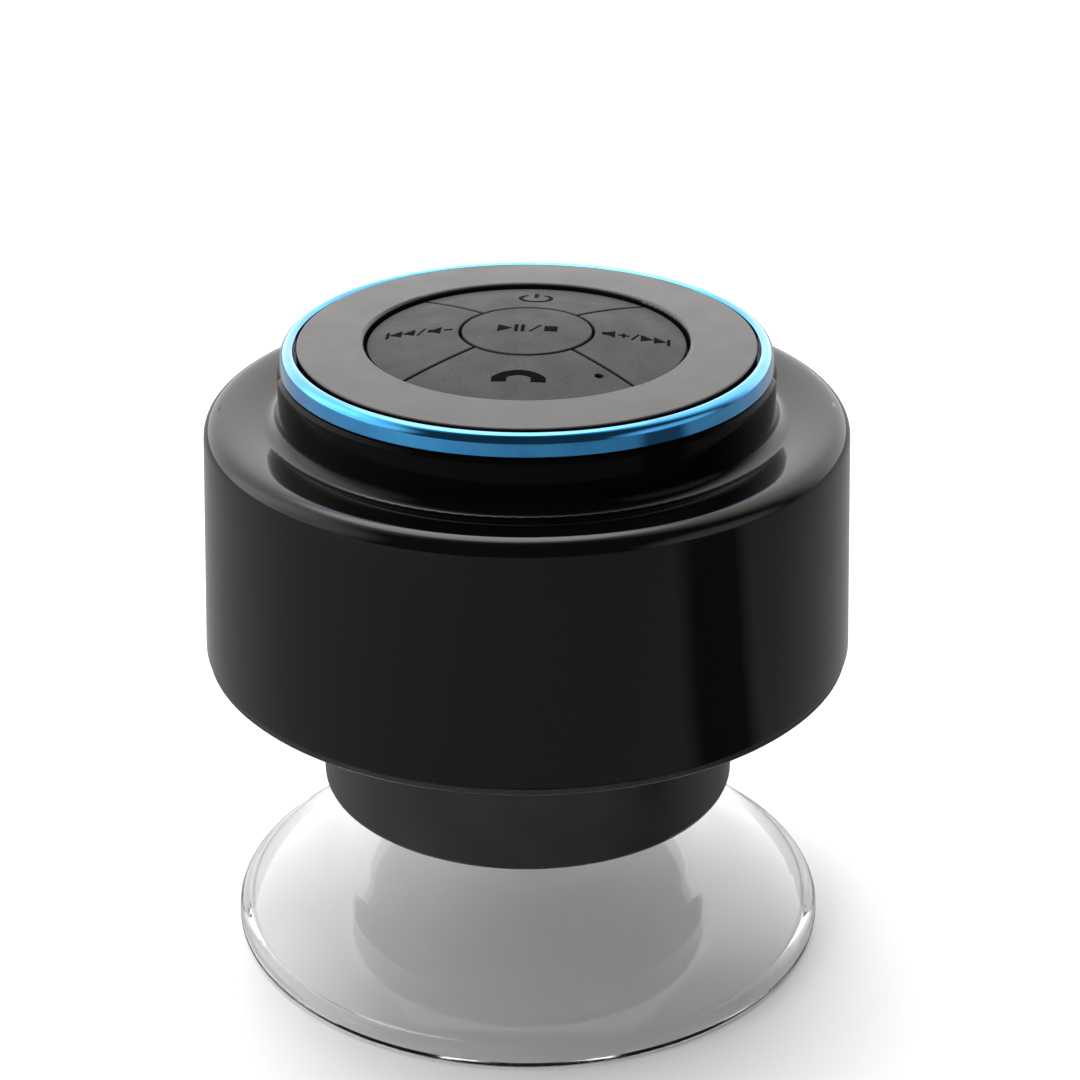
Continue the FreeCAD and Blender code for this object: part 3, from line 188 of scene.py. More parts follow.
def fascia_satin():
    """Dark grey satin paint on the cover ring's top. Its steep walls are near black with weak reflection:
    bare black plastic, and painted shade of the gaps beside the keys and the ring.
    """
    look = Look("fascia_satin", (0.055, 0.053, 0.051), 0.36, **{"IOR": 1.42})
    grain = look.noise(0.13 * MM, 3.0, 0.65)
    cloud = look.noise(7 * MM, 2.0)
    shade = look.spread(grain, 0, 1, 0.35, 0.65)
    fleck = look.mix(shade, (0.036, 0.035, 0.034), (0.062, 0.0605, 0.0585))
    normal = look.node("ShaderNodeNewGeometry").outputs["Normal"]
    slope = look.node("ShaderNodeSeparateXYZ", {"Vector": normal}).outputs["Z"]
    # Steep walls go near black: bare plastic, and painted shade for the shadowed gaps at the keypad well
    # and beside the trim ring.
    top_paint_not_wall_shade = look.spread(slope, 0, 1, 0.35, 0.75)
    look.colour(look.mix(top_paint_not_wall_shade, (0.003, 0.003, 0.003), fleck))
    look.set(look.shader, {"Specular IOR Level": look.spread(top_paint_not_wall_shade, 0.1, 0.5)})
    look.roughness(look.spread(cloud, 0.33, 0.41, 0.3, 0.7))
    return look.bump(grain, 0.016 * MM, 0.55).material


def key_rubber():
    """Fine matt rubber of the keys, a little darker than the fascia."""
    look = Look("key_rubber", (0.03, 0.029, 0.028), 0.6, **{"IOR": 1.34})
    grain = look.noise(0.17 * MM, 4.0, 0.7)
    touch = look.noise(5 * MM, 3.0)
    fleck = look.spread(grain, 0, 1, 0.38, 0.62)
    look.colour(look.mix(fleck, (0.013, 0.0126, 0.0122), (0.042, 0.0408, 0.0394)))
    look.roughness(look.spread(touch, 0.54, 0.66, 0.3, 0.7))
    return look.bump(grain, 0.016 * MM, 0.6).material


def print_black():
    """Pad-printed ink of the key symbols."""
    look = Look("symbol_ink", (0.0015, 0.0015, 0.0015), 0.6, **{"IOR": 1.06})
    grain = look.noise(0.09 * MM, 2.0)
    look.roughness(look.spread(grain, 0.52, 0.68))
    return look.bump(grain, 0.006 * MM, 0.4).material


def blue_chrome():
    """Blue plated metal of the trim ring under a clear lacquer, with fine lathe lines."""
    lacquer = {"Coat Weight": 1.0, "Coat IOR": 1.55, "Coat Roughness": 0.03}
    look = Look("blue_plating", (0.03, 0.4, 0.86), 0.09, 1.0, **lacquer)
    ripple = look.noise(5 * MM, 1.5)
    lines = look.noise(0.05 * MM, 2.0, 0.5, (0.2, 0.2, 6))
    look.roughness(look.spread(lines, 0.07, 0.14, 0.3, 0.7))
    look.colour(look.mix(look.spread(ripple, 0, 1, 0.3, 0.7), (0.018, 0.3, 0.72), (0.035, 0.4, 0.84)))
    return look.bump(ripple, 0.01 * MM, 0.5).material


def silicone(name="dark_silicone", tone=0.012):
    """Soft matt silicone with a dusty bloom."""
    look = Look(name, (tone, tone, tone * 1.05), 0.6, **{"Sheen Weight": 0.12})
    grain = look.noise(0.12 * MM, 3.0, 0.6)
    bloom = look.noise(3 * MM, 4.0)
    look.roughness(look.spread(bloom, 0.5, 0.7, 0.3, 0.7))
    return look.bump(grain, 0.012 * MM, 0.5).material


def clear_pvc():
    """Clear soft vinyl of the suction cup, with flow marks and a light haze."""
    look = Look("clear_vinyl", (0.97, 0.975, 0.98), 0.04, **{"Transmission Weight": 1.0, "IOR": 1.46})
    flow = look.noise(6 * MM, 2.0, 0.5, (1, 1, 0.5))
    smear = look.noise(2.2 * MM, 3.0)
    look.roughness(look.spread(smear, 0.02, 0.1, 0.35, 0.75))
    return look.bump(flow, 0.04 * MM, 0.3).material


def metal(name, colour, roughness, scratch=0.3):
    """Machined or plated metal with drawn lines and faint stains."""
    look = Look(name, colour, roughness, 1.0)
    lines = look.noise(0.08 * MM, 3.0, 0.6, (1, 1, 8))
    stain = look.noise(1.6 * MM, 4.0)
    dark = tuple(c * 0.78 for c in colour)
    look.colour(look.mix(look.spread(stain, 0, 1, 0.35, 0.7), colour, dark))
    look.roughness(look.spread(lines, roughness * 0.75, roughness * 1.35, 0.3, 0.7))
    return look.bump(lines, 0.006 * MM, scratch).material


def moulded(name, colour, roughness=0.45):
    """Moulded plastic of small inner pieces."""
    look = Look(name, colour, roughness)
    grain = look.noise(0.1 * MM, 3.0)
    stain = look.noise(1.8 * MM, 3.0)
    dark = tuple(c * 0.82 for c in colour)
    look.colour(look.mix(look.spread(stain, 0, 1, 0.3, 0.7), colour, dark))
    look.roughness(look.spread(grain, roughness * 0.85, roughness * 1.15))
    return look.bump(grain, 0.008 * MM, 0.4).material


def circuit_board():
    """Solder mask over copper tracks."""
    look = Look("solder_mask", (0.008, 0.09, 0.04), 0.28, **{"Coat Weight": 0.4, "Coat Roughness": 0.15})
    tracks = look.node(
        "ShaderNodeTexBrick", {"Vector": look.place, "Scale": 320.0, "Mortar Size": 0.03}
    ).outputs["Fac"]
    look.colour(look.mix(tracks, (0.008, 0.085, 0.04), (0.015, 0.15, 0.07)))
    return look.bump(tracks, 0.015 * MM, 0.5).material


def cone_paper():
    """Pressed fibre cone with a coated face."""
    look = Look("pressed_fibre", (0.022, 0.022, 0.023), 0.62)
    fibre = look.noise(0.28 * MM, 5.0, 0.7)
    shade = look.spread(fibre, 0, 1, 0.35, 0.65)
    look.colour(look.mix(shade, (0.016, 0.016, 0.017), (0.034, 0.034, 0.035)))
    return look.bump(fibre, 0.05 * MM, 0.7).material


def spider_cloth():
    """Resin-stiffened woven cloth."""
    look = Look("stiff_cloth", (0.62, 0.46, 0.24), 0.75)
    weave = look.node("ShaderNodeTexChecker", {"Vector": look.place, "Scale": 3200.0}).outputs["Fac"]
    look.colour(look.mix(weave, (0.66, 0.5, 0.27), (0.5, 0.35, 0.17)))
    return look.bump(weave, 0.04 * MM, 0.6).material


def copper_wire():
    """Enamelled winding: fine rings one above the other."""
    look = Look("enamelled_copper", (0.75, 0.3, 0.13), 0.3, 1.0)
    rings = look.node(
        "ShaderNodeTexWave", {"Vector": look.place, "Scale": 1600.0}, bands_direction="Z"
    ).outputs["Fac"]
    look.colour(look.mix(rings, (0.8, 0.34, 0.16), (0.42, 0.14, 0.06)))
    return look.bump(rings, 0.05 * MM, 0.8).material


def pouch_foil():
    """Crimped aluminium pouch of the battery."""
    look = Look("pouch_foil", (0.56, 0.57, 0.6), 0.32, 1.0)
    crease = look.noise(4 * MM, 5.0, 0.6)
    look.roughness(look.spread(crease, 0.25, 0.45))
    return look.bump(crease, 0.2 * MM, 0.4).material


def foam():
    """Closed-cell foam tape."""
    look = Look("closed_cell_foam", (0.035, 0.035, 0.038), 0.85)
    cells = look.cells(0.22 * MM)
    look.colour(look.mix(look.spread(cells, 0, 1, 0, 0.6), (0.05, 0.05, 0.053), (0.018, 0.018, 0.02)))
    return look.bump(cells, 0.08 * MM, 0.8).material


def dress_nodes():
    """Gives every CAD node the material of its slot in the record."""
    looks = {
        "gloss_black_plastic": gloss_black(),
        "satin_black_plastic": satin_black(),
        "fascia_plastic": fascia_satin(),
        "blue_chrome": blue_chrome(),
        "key_rubber": key_rubber(),
        "dark_silicone": silicone(),
        "clear_pvc": clear_pvc(),
        "zinc_steel": metal("zinc_plated_steel", (0.56, 0.57, 0.6), 0.28),
        "black_steel": moulded("black_coated_steel", (0.02, 0.02, 0.021), 0.35),
        "brass": metal("turned_brass", (0.78, 0.55, 0.22), 0.24),
        "copper": copper_wire(),
        "ferrite": moulded("ground_ferrite", (0.045, 0.044, 0.046), 0.5),
        "circuit_board": circuit_board(),
        "component_black": moulded("component_black", (0.014, 0.014, 0.014), 0.42),
        "component_metal": metal("tinned_can", (0.62, 0.62, 0.63), 0.32),
        "socket_plastic": moulded("ivory_plastic", (0.7, 0.66, 0.55), 0.42),
        "pouch_foil": pouch_foil(),
        "foam_tape": foam(),
        "cable_sheath": moulded("red_sheath", (0.3, 0.015, 0.012), 0.4),
        "flat_cable": moulded("ribbon_film", (0.68, 0.66, 0.6), 0.3),
        "cone_paper": cone_paper(),
        "cone_rubber": silicone("surround_rubber", 0.016),
        "spider_cloth": spider_cloth(),
        "former_film": moulded("amber_film", (0.42, 0.16, 0.03), 0.25),
    }
    for node, slot in SLOTS.items():
        mesh = NODES[node].data
        mesh.materials.clear()
        mesh.materials.append(looks[slot])
    return looks


# ---------------------------------------------------------------- mesh pieces


def new_piece(name, points, faces, look, body):
    """A mesh piece with the given material, which rides on a body when one is given."""
    mesh = bpy.data.meshes.new(name)
    mesh.from_pydata(points, [], faces)
    mesh.validate()
    mesh.shade_smooth()
    mesh.materials.append(look)
    piece = bpy.data.objects.new(name, mesh)
    bpy.context.scene.collection.objects.link(piece)
    if body:
        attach(piece, body)
    return piece


def stand_in(node, suffix):
    """A copy of a CAD node's mesh as a new piece, which is shown in the node's place."""
    piece = bpy.data.objects.new(f"{node}_{suffix}", NODES[node].data.copy())
    bpy.context.scene.collection.objects.link(piece)
    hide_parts(node)
    return piece


def arc(start, end, bulge, steps):
    """Points after start up to end on a round arc that stands bulge to the left of the straight way."""
    (x0, y0), (x1, y1) = start, end
    span = math.hypot(x1 - x0, y1 - y0)
    radius = (span * span / 4 + bulge * bulge) / (2 * bulge)
    nx, ny = -(y1 - y0) / span, (x1 - x0) / span
    cx = (x0 + x1) / 2 - nx * (radius - bulge)
    cy = (y0 + y1) / 2 - ny * (radius - bulge)
    first = math.atan2(y0 - cy, x0 - cx)
    turn = math.atan2(y1 - cy, x1 - cx) - first
    turn = (turn + math.pi) % (2 * math.pi) - math.pi
    return [
        (cx + abs(radius) * math.cos(first + turn * i / steps),
         cy + abs(radius) * math.sin(first + turn * i / steps))
        for i in range(1, steps + 1)
    ]


def smooth_edges(piece):
    """Marks edges sharper than SMOOTH_ANGLE, so that flat faces stay flat."""
    bm = bmesh.new()
    bm.from_mesh(piece.data)
    for edge in bm.edges:
        edge.smooth = len(edge.link_faces) == 2 and edge.calc_face_angle(0) < SMOOTH_ANGLE
    bm.to_mesh(piece.data)
    bm.free()


def lathe(name, profile, look, body, segments):
    """A closed (radius, height) profile turned about the Z axis. Points on the axis are shared."""
    points, rows = [], []
    for radius, height in profile:
        if radius < 1e-7:
            rows.append([len(points)] * segments)
            points.append((0, 0, height))
            continue
        rows.append(list(range(len(points), len(points) + segments)))
        for i in range(segments):
            turn = 2 * math.pi * i / segments
            points.append((radius * math.cos(turn), radius * math.sin(turn), height))
    faces = []
    for row, after in zip(rows, rows[1:] + rows[:1]):
        if row[0] == row[1] and after[0] == after[1]:
            continue
        for i in range(segments):
            j = (i + 1) % segments
            corners = [row[i], row[j], after[j], after[i]]
            unique = [c for n, c in enumerate(corners) if c not in corners[:n]]
            faces.append(unique)
    piece = new_piece(name, points, faces, look, body)
    smooth_edges(piece)
    return piece


# ---------------------------------------------------------------- symbols on the keys


def box_shape(x0, x1, y0, y1):
    return [(x0, y0), (x1, y0), (x1, y1), (x0, y1)]


def play_shape(x, width, height):
    """A triangle that points right, or left when the width is negative."""
    return [(x, -height / 2), (x + width, 0), (x, height / 2)]


def slash_shape(x, width, height):
    half, stroke = height / 2, 0.32
    return [(x, -half), (x + stroke, -half), (x + width, half), (x + width - stroke, half)]


def loudspeaker_shape(x, height):
    """A little horn: a box with a flared mouth to its right."""
    half, throat, box, mouth = height / 2, height * 0.19, 0.75, 1.8
    return [(x, -throat), (x + box, -throat), (x + mouth, -half), (x + mouth, half),
            (x + box, throat), (x, throat)]


def plus_shape(x, size):
    half, stroke = size / 2, 0.19
    c = x + half
    return [(c - stroke, -half), (c + stroke, -half), (c + stroke, -stroke), (c + half, -stroke),
            (c + half, stroke), (c + stroke, stroke), (c + stroke, half), (c - stroke, half),
            (c - stroke, stroke), (c - half, stroke), (c - half, -stroke), (c - stroke, -stroke)]


def band_shape(radius, stroke, start, end, steps=40):
    """Part of a ring between two angles in degrees."""
    turns = [math.radians(start + (end - start) * i / steps) for i in range(steps + 1)]
    near, far = radius - stroke / 2, radius + stroke / 2
    outer = [(far * math.cos(a), far * math.sin(a)) for a in turns]
    inner = [(near * math.cos(a), near * math.sin(a)) for a in turns]
    return outer + inner[::-1]


def handset_shape():
    """A telephone handset lying face down: a bowed grip with a cup at each end."""
    half, cup, foot, shoulder = 3.6, 2.0, -1.65, -0.55
    top = [(-half, shoulder)] + arc((-half, shoulder), (half, shoulder), 1.95, 24)
    right = [(half, foot), (half - cup, foot), (half - cup, shoulder)]
    under = arc((half - cup, shoulder), (-half + cup, shoulder), -0.6, 16)
    left = [(-half + cup, foot), (-half, foot)]
    return top + right + under + left


def moved(outline, x, y):
    return [(px + x, py + y) for px, py in outline]


# The outlines on each key, in millimetres from the speaker's axis.
SYMBOLS = {
    "play_button": [
        play_shape(-4.0, 2.0, 2.6),
        box_shape(-1.7, -1.2, -1.3, 1.3),
        box_shape(-0.8, -0.3, -1.3, 1.3),
        slash_shape(0.3, 1.7, 2.6),
        box_shape(2.4, 4.2, -0.95, 0.95),
    ],
    "volume_down_button": [
        box_shape(-19.4, -18.95, -1.15, 1.15),
        play_shape(-17.2, -1.75, 2.3),
        play_shape(-15.4, -1.75, 2.3),
        slash_shape(-15.1, 1.2, 2.3),
        loudspeaker_shape(-13.6, 2.5),
        box_shape(-11.35, -10.2, -0.24, 0.24),
    ],
    "volume_up_button": [
        loudspeaker_shape(10.3, 2.5),
        plus_shape(12.5, 1.5),
        slash_shape(14.25, 1.2, 2.3),
        play_shape(15.6, 1.75, 2.3),
        play_shape(17.4, 1.75, 2.3),
        box_shape(19.2, 19.65, -1.15, 1.15),
    ],
    "call_button": [moved(handset_shape(), 0, -15.0)],
    "power_button": [
        moved(band_shape(2.15, 0.6, 125, 415), 0.3, 14.6),
        box_shape(0.0, 0.6, 15.0, 17.5),
    ],
}
INK_DEPTH = 0.03 * MM
INK_RISE = 0.035 * MM
INK_GRID = 0.45


def filled(outline):
    """Triangles that fill an outline, with a grid of points inside so that the fill can follow a dome."""
    border = []
    for start, end in zip(outline, outline[1:] + outline[:1]):
        start, end = Vector(start), Vector(end)
        cuts = max(1, math.ceil((end - start).length / INK_GRID))
        border += [start.lerp(end, i / cuts) for i in range(cuts)]
    xs, ys = [p.x for p in border], [p.y for p in border]
    inner = []
    for column in range(int((max(xs) - min(xs)) / INK_GRID)):
        for row in range(int((max(ys) - min(ys)) / INK_GRID)):
            inner.append(Vector((min(xs) + (column + 0.5) * INK_GRID, min(ys) + (row + 0.5) * INK_GRID)))
    inner = [p for p in inner if min((p - q).length for q in border) > INK_GRID * 0.4]
    rim = [(i, (i + 1) % len(border)) for i in range(len(border))]
    points, _, faces, _, _, _ = delaunay_2d_cdt(border + inner, rim, [list(range(len(border)))], 1, 1e-6)
    return points, faces


def print_symbols(look):
    """Thin raised ink shapes that follow each key's crowned top."""
    down = Vector((0, 0, -1))
    for node, outlines in SYMBOLS.items():
        key = NODES[node]
        surface = BVHTree.FromObject(key, bpy.context.evaluated_depsgraph_get())
        points, faces = [], []
        for outline in outlines:
            flat, triangles = filled(outline)
            first, count = len(points), len(flat)
            tops = [surface.ray_cast(Vector((p.x * MM, p.y * MM, 1)), down)[0] for p in flat]
            points += [(t.x, t.y, t.z + INK_RISE) for t in tops]
            points += [(t.x, t.y, t.z - INK_DEPTH) for t in tops]
            sides = {}
            for a, b, c in triangles:
                faces.append((first + a, first + b, first + c))
                faces.append((first + count + c, first + count + b, first + count + a))
                for edge in ((a, b), (b, c), (c, a)):
                    if edge[::-1] in sides:
                        del sides[edge[::-1]]
                    else:
                        sides[edge] = True
            for a, b in sides:
                faces.append((first + b, first + a, first + count + a, first + count + b))
        name = node.replace("button", "symbol")
        symbol = new_piece(name, points, faces, look, key["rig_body"])
        smooth_edges(symbol)


# ---------------------------------------------------------------- suction cup screw


THREAD_CREST, THREAD_PITCH, THREAD_DEPTH = 4.0 * MM, 2.0 * MM, 0.62 * MM
THREAD_STEPS, THREAD_ROWS_PER_PITCH = 72, 10
STUD_FLANGE_THICKNESS = 2.4 * MM


def make_stud():
    """The cup's screw with a rolled helical thread above its flange. The thread starts at the washer and
    runs out below the tapered tip."""
    low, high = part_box("cup_stud")
    flange, shoulder = high.x, low.z + STUD_FLANGE_THICKNESS
    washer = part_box("cup_washer")[0].z
    start, end = shoulder + 0.1 * MM, high.z
    run_in, run_out, tip_height, tip_taper = 0.6 * MM, 0.9 * MM, 0.8 * MM, 0.75 * MM

    def radius_at(z, turn):
        phase = ((z - start) / THREAD_PITCH - turn) % 1.0
        groove = max(0.0, math.cos(2 * math.pi * phase)) ** 0.7
        fade = min(1.0, max(0.0, (end - z) / run_out), max(0.0, (z - washer) / run_in))
        tip = tip_taper * max(0.0, 1 - (end - z) / tip_height)
        return THREAD_CREST - THREAD_DEPTH * groove * fade - tip

    points, faces = [], []
    rows = int((end - start) / (THREAD_PITCH / THREAD_ROWS_PER_PITCH)) + 1
    for row in range(rows + 1):
        z = start + (end - start) * row / rows
        for i in range(THREAD_STEPS):
            turn = i / THREAD_STEPS
            radius, angle = radius_at(z, turn), 2 * math.pi * turn
            points.append((radius * math.cos(angle), radius * math.sin(angle), z))
    for row in range(rows):
        at, after = row * THREAD_STEPS, (row + 1) * THREAD_STEPS
        for i in range(THREAD_STEPS):
            j = (i + 1) % THREAD_STEPS
            faces.append((at + i, at + j, after + j, after + i))
    faces.append(tuple(range(THREAD_STEPS))[::-1])
    faces.append(tuple(rows * THREAD_STEPS + i for i in range(THREAD_STEPS)))
    thread = new_piece("stud_thread", points, faces, LOOKS["zinc_steel"], "cup")
    smooth_edges(thread)
    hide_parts("cup_stud")

    edge, bulge = 0.3 * MM, -0.09 * MM
    profile = [(0, low.z), (flange - edge, low.z)]
    profile += arc(profile[-1], (flange, low.z + edge), bulge, 4)
    profile.append((flange, shoulder - edge))
    profile += arc(profile[-1], (flange - edge, shoulder), bulge, 4)
    profile += [(THREAD_CREST + 0.5 * MM, shoulder), (0, shoulder)]
    lathe("stud_flange", profile, LOOKS["zinc_steel"], "cup", 96)


# ---------------------------------------------------------------- polished pieces


# Corners are in one ring when their radius and height agree to RING_GRID, and they share a normal when
# their slopes are within SAME_SLOPE too. A surface counts as turned about the axis where at least
# TURNED_SHARE of its normal lies in the plane through the axis.
RING_GRID = 0.01 * MM
SAME_SLOPE = math.cos(math.radians(22))
TURNED_SHARE = 0.99

# Rows of points closer than ROW_GAP are one row. A stretch of the profile longer than LONGEST_PLAIN gets
# a row FLAT_INSET from each end, so that it stays flat beside a rounding.
ROW_GAP = 0.008 * MM
FLAT_INSET = 0.04 * MM
LONGEST_PLAIN = 10 * FLAT_INSET


def evened_normals(mesh):
    """Corner normals that are the same all the way round the Z axis. Corners at one radius, height and
    slope share their mean, and corners of faces that aren't turned about the axis keep their own."""
    rings = {}
    normals = [n.vector.copy() for n in mesh.corner_normals]
    for loop, normal in zip(mesh.loops, normals):
        point = mesh.vertices[loop.vertex_index].co
        radius = math.hypot(point.x, point.y)
        if radius < RING_GRID:
            continue
        out = Vector((point.x, point.y, 0)) / radius
        slope = Vector((normal.dot(out), normal.z))
        if slope.length < TURNED_SHARE:
            continue
        groups = rings.setdefault((round(radius / RING_GRID), round(point.z / RING_GRID)), [])
        for group in groups:
            if group["sum"].normalized().dot(slope) > SAME_SLOPE:
                break
        else:
            group = {"sum": Vector((0, 0)), "corners": []}
            groups.append(group)
        group["sum"] += slope
        group["corners"].append((loop.index, out))
    for group in (g for groups in rings.values() for g in groups):
        mean = group["sum"].normalized()
        for index, out in group["corners"]:
            normals[index] = Vector((out.x * mean.x, out.y * mean.x, mean.y))
    return normals


def polish(node):
    """Replaces a turned glossy node by a copy with even normals, so that its mirror lines run clean."""
    piece = stand_in(node, "polished")
    piece.data.normals_split_custom_set(evened_normals(piece.data))
    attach(piece, NODES[node]["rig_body"])


def turn_finer(node, segments):
    """Replaces a node that is round about the Z axis by one turned in finer steps, from the node's own
    rows of points. Its profile must be one loop that goes round the middle of its box."""
    rows = []
    for vertex in NODES[node].data.vertices:
        row = (math.hypot(vertex.co.x, vertex.co.y), vertex.co.z)
        if all(math.dist(row, other) > ROW_GAP for other in rows):
            rows.append(row)
    middle = [(min(values) + max(values)) / 2 for values in zip(*rows)]
    rows.sort(key=lambda row: math.atan2(row[1] - middle[1], row[0] - middle[0]))
    profile = []
    for start, end in zip(rows, rows[1:] + rows[:1]):
        start, end = Vector(start), Vector(end)
        length = (end - start).length
        profile.append(tuple(start))
        if length > LONGEST_PLAIN:
            inset = FLAT_INSET / length
            profile += [tuple(start.lerp(end, inset)), tuple(start.lerp(end, 1 - inset))]
    slot = SLOTS[node]
    piece = lathe(f"{node}_turned", profile, LOOKS[slot], NODES[node]["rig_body"], segments)
    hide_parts(node)


# ---------------------------------------------------------------- soft pieces that bend


def bending_copy(node, share):
    """A copy of a soft node, shown in its place with its transform baked in. share gives how far a point
    would follow the moving body, from 0 to 1; the shares are worked out, but nothing uses them, so nothing
    bends."""
    piece = stand_in(node, "soft")
    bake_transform(piece)
    shares = [min(1.0, max(0.0, share(v.co))) for v in piece.data.vertices]


def make_suspension():
    """The loudspeaker's surround, spider and leads stretch between its basket and its cone. Each is only
    copied in its place here, with shares that are 0 on the glued rims of the surround and the spider."""
    surround_rim, spider_rim, spider_collar = 1.4 * MM, 0.6 * MM, 1.0 * MM
    cone_edge, surround_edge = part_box("speaker_cone")[1].x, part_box("cone_surround")[1].x - surround_rim
    former, spider_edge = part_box("coil_former")[1].x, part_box("spider")[1].x - spider_rim
    lead_start, lead_end = (corner.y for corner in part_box("tinsel_leads"))

    def across(inner, outer):
        return lambda p: (outer - math.hypot(p.x, p.y)) / (outer - inner)

    bending_copy("cone_surround", across(cone_edge, surround_edge))
    bending_copy("spider", across(former + spider_collar, spider_edge))
    bending_copy("tinsel_leads", lambda p: (p.y - lead_start) / (lead_end - lead_start))


def make_port_strap():
    """The thin rubber strap that the port cover hangs on: a straight strip with a narrow waist, which runs
    up past the hinge line.
    """
    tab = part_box("port_cover_tab")[1]
    hinge = next(j for j in frame["joints"] if j["name"] == "port_cover_swing")["pos_m"]
    front = tab.y - 0.05 * MM
    half, waist, rows = 2.7 * MM, 0.35 * MM, 14
    back = front - 0.8 * MM
    low, high = tab.z - 0.5 * MM, hinge[2] + 0.7 * MM
    points, faces = [], []
    for row in range(rows + 1):
        z = low + (high - low) * row / rows
        side = half - waist * math.sin(math.pi * row / rows)
        points += [(-side, front, z), (side, front, z), (side, back, z), (-side, back, z)]
    for row in range(rows):
        at, after = row * 4, row * 4 + 4
        for i in range(4):
            j = (i + 1) % 4
            faces.append((at + i, at + j, after + j, after + i))
    faces.append((3, 2, 1, 0))
    faces.append((rows * 4, rows * 4 + 1, rows * 4 + 2, rows * 4 + 3))
    strap = new_piece("port_strap", points, faces, LOOKS["dark_silicone"], None)
    smooth_edges(strap)
    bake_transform(strap)


# ---------------------------------------------------------------- stage, light and camera


def area_light(name, place, aim, size, power):
    """A soft rectangular light that points at aim. Mirrors don't show it: they show the world."""
    data = bpy.data.lights.new(name, "AREA")
    data.shape = "RECTANGLE"
    data.size, data.size_y = size
    data.energy = power
    light = bpy.data.objects.new(name, data)
    light.location = place
    light.rotation_euler = (Vector(aim) - Vector(place)).to_track_quat("-Z", "Y").to_euler()
    light.visible_glossy = False
    light.visible_camera = False
    bpy.context.scene.collection.objects.link(light)


# The floor's colour to the camera, and its painted reflection colours: to mirrors, and to mirrors in the
# painted shaded sector. The sector's two sides are in degrees from the front (-Y) towards +X, and each
# fades over twice SECTOR_FADE.
FLOOR_SEEN = (0.8, 0.805, 0.815)
FLOOR_MIRRORED = (0.2, 0.2015, 0.2035)
FLOOR_SHADED = (0.02, 0.02, 0.02)
SHADED_SECTOR = (53.5, 75.5)
SECTOR_FADE = 3
FLOOR_RADIUS, FLOOR_DROP = 7.0, 0.3 * MM


def make_stage():
    """A plain pale floor that reaches past the frame. Its colour in mirrors is a painted reflection,
    darker than the camera sees it, like a dim studio table, with a painted near-black reflection in a
    sector to the front right in place of something dark in the studio. From below the floor is clear, so
    that the underside can be looked at."""
    steps = 96
    turns = [2 * math.pi * i / steps for i in range(steps)]
    rim = [(FLOOR_RADIUS * math.cos(t), FLOOR_RADIUS * math.sin(t), 0) for t in turns]
    mesh = bpy.data.meshes.new("floor")
    mesh.from_pydata(rim, [], [tuple(range(steps))])
    floor = bpy.data.objects.new("floor", mesh)
    floor.location.z = -FLOOR_DROP
    bpy.context.scene.collection.objects.link(floor)
    look = Look("pale_floor", FLOOR_SEEN, 0.5, **{"IOR": 1.3})
    ray = look.node("ShaderNodeLightPath").outputs
    mirrored = look.node("ShaderNodeMath", operation="SUBTRACT", use_clamp=True)
    look.set(mirrored, {0: ray["Is Glossy Ray"], 1: ray["Is Transmission Ray"]})
    sides = look.node("ShaderNodeSeparateXYZ", {"Vector": look.place}).outputs
    front = look.node("ShaderNodeMath", {0: sides["Y"], 1: -1.0}, operation="MULTIPLY").outputs[0]
    turn = look.node("ShaderNodeMath", {0: sides["X"], 1: front}, operation="ARCTAN2").outputs[0]
    first, last = (
        look.spread(turn, 0, 1, math.radians(side - SECTOR_FADE), math.radians(side + SECTOR_FADE))
        for side in SHADED_SECTOR
    )
    sector = look.node("ShaderNodeMath", {0: first, 1: last}, operation="SUBTRACT").outputs[0]
    # Painted reflection: mirrors see the floor dimmer than the camera does, and near black in the shaded
    # sector.
    reflected = look.mix(sector, FLOOR_MIRRORED, FLOOR_SHADED)
    look.colour(look.mix(mirrored.outputs[0], FLOOR_SEEN, reflected))
    under = look.node("ShaderNodeNewGeometry").outputs["Backfacing"]
    clear = look.node("ShaderNodeBsdfTransparent").outputs[0]
    sided = look.node("ShaderNodeMixShader", {0: under, 1: look.shader.outputs[0], 2: clear})
    look.set(look.tree.nodes["Material Output"], {"Surface": sided.outputs[0]})
    mesh.materials.append(look.material)


# Round patches of light in the studio: direction, angle where the fade starts and where it ends, strength.
GLOWS = {
    "wall behind": ((-0.2, 1, 0.25), 50, 90, 1.8),
    "soft box above": ((-0.15, 0.45, 1), 10, 26, 4.0),
    "left side": ((-1, -0.1, 0.3), 8, 40, 1.5),
    "right side": ((1, -0.35, 0.1), 8, 34, 0.9),
}
ROOM_GLOW = 0.06
ROOM_COLOUR = (1.0, 0.985, 0.97)


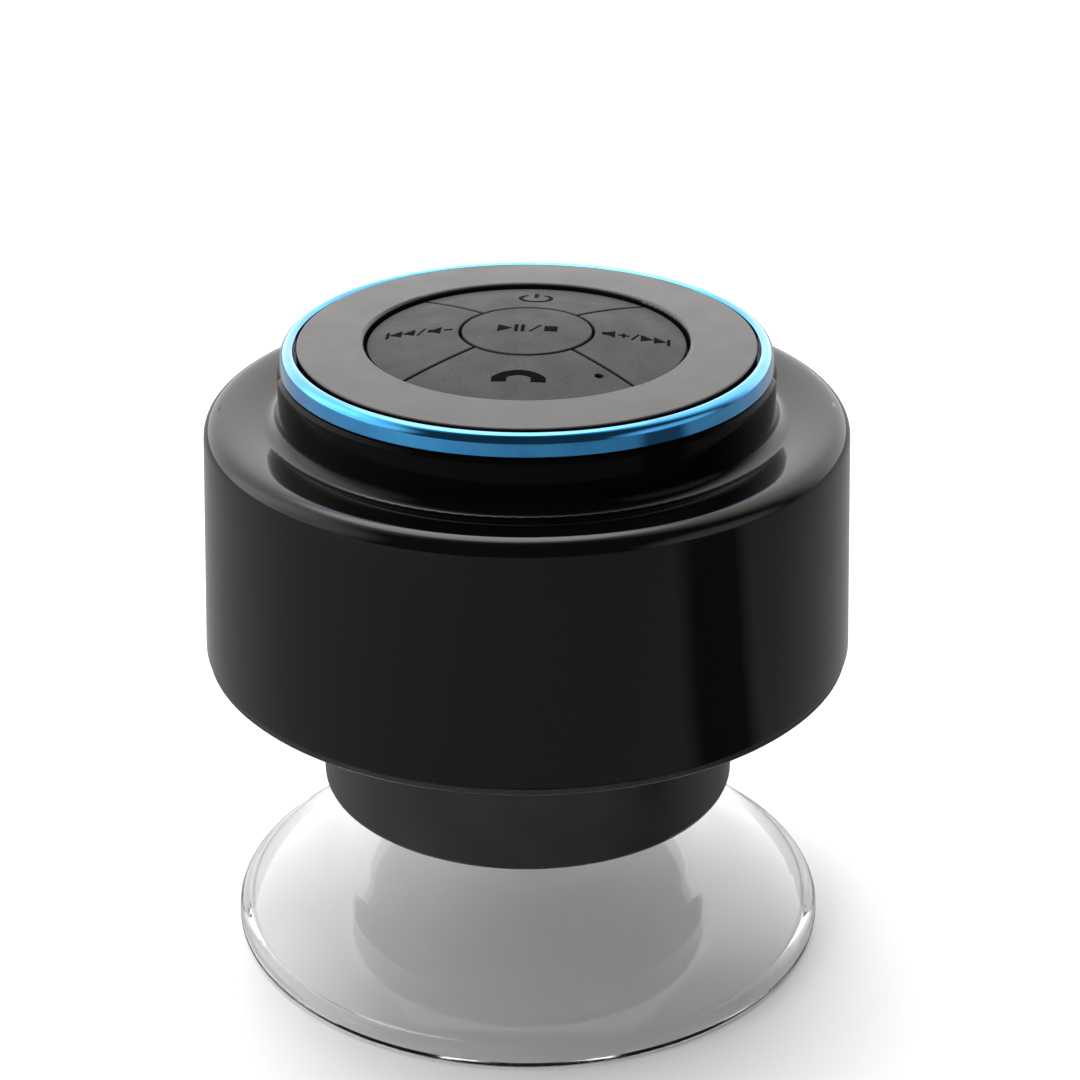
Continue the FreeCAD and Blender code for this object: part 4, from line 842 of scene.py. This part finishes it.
def make_world():
    """A studio round the object: a bright wall behind it, a dim room in front, and soft side lights. The
    camera itself sees only white past the floor."""
    world = bpy.data.worlds.new("studio")
    bpy.context.scene.world = world
    world.use_nodes = True
    tree = world.node_tree
    ray = tree.nodes.new("ShaderNodeTexCoord").outputs["Generated"]

    def combined(operation, first, second):
        node = tree.nodes.new("ShaderNodeMath")
        node.operation = operation
        tree.links.new(first, node.inputs[0])
        if isinstance(second, float):
            node.inputs[1].default_value = second
        else:
            tree.links.new(second, node.inputs[1])
        return node.outputs[0]

    def glow(direction, inner, outer, strength):
        dot = tree.nodes.new("ShaderNodeVectorMath")
        dot.operation = "DOT_PRODUCT"
        tree.links.new(ray, dot.inputs[0])
        dot.inputs[1].default_value = Vector(direction).normalized()
        patch = tree.nodes.new("ShaderNodeMapRange")
        patch.interpolation_type = "SMOOTHSTEP"
        tree.links.new(dot.outputs["Value"], patch.inputs["Value"])
        patch.inputs["From Min"].default_value = math.cos(math.radians(outer))
        patch.inputs["From Max"].default_value = math.cos(math.radians(inner))
        patch.inputs["To Max"].default_value = strength
        return patch.outputs["Result"]

    first, *others = (glow(*values) for values in GLOWS.values())
    total = combined("ADD", first, ROOM_GLOW)
    for patch in others:
        total = combined("ADD", total, patch)
    to_camera = tree.nodes.new("ShaderNodeLightPath").outputs["Is Camera Ray"]
    background = tree.nodes["Background"]
    background.inputs["Color"].default_value = (*ROOM_COLOUR, 1)
    tree.links.new(combined("MAXIMUM", total, to_camera), background.inputs["Strength"])


def make_lights():
    """A big soft light overhead and a weak low one that reaches under the body from the front left."""
    area_light("overhead", place=(0, 0.15, 0.9), aim=(0, 0, 0.06), size=(1.0, 0.8), power=3)
    area_light("low_fill", place=(-0.5, -0.55, 0.24), aim=(0, 0, 0.015), size=(0.6, 0.3), power=5)


def make_camera():
    """The camera looks down at the keypad from the front, turned a little to the right."""
    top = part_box("fascia")[1].z
    distance, height, shift = 0.3335, 0.1262, 0.0018
    pitch, turn = math.radians(25.18), math.radians(3.7)
    data = bpy.data.cameras.new("camera")
    data.lens, data.sensor_width = 86.53, 36.0
    camera = bpy.data.objects.new("camera", data)
    forward = Vector((-math.sin(turn), math.cos(turn), 0))
    sideways = Vector((math.cos(turn), math.sin(turn), 0))
    camera.location = sideways * shift - forward * distance
    camera.location.z = top + height
    camera.rotation_euler = (math.pi / 2 - pitch, 0, turn)
    bpy.context.scene.collection.objects.link(camera)
    bpy.context.scene.camera = camera
    bpy.context.scene.view_settings.view_transform = "Standard"


LOOKS = dress_nodes()
print_symbols(print_black())
make_stud()
polish("upper_shell")
turn_finer("trim_ring", 720)
make_suspension()
make_port_strap()
make_stage()
make_world()
make_lights()
make_camera()
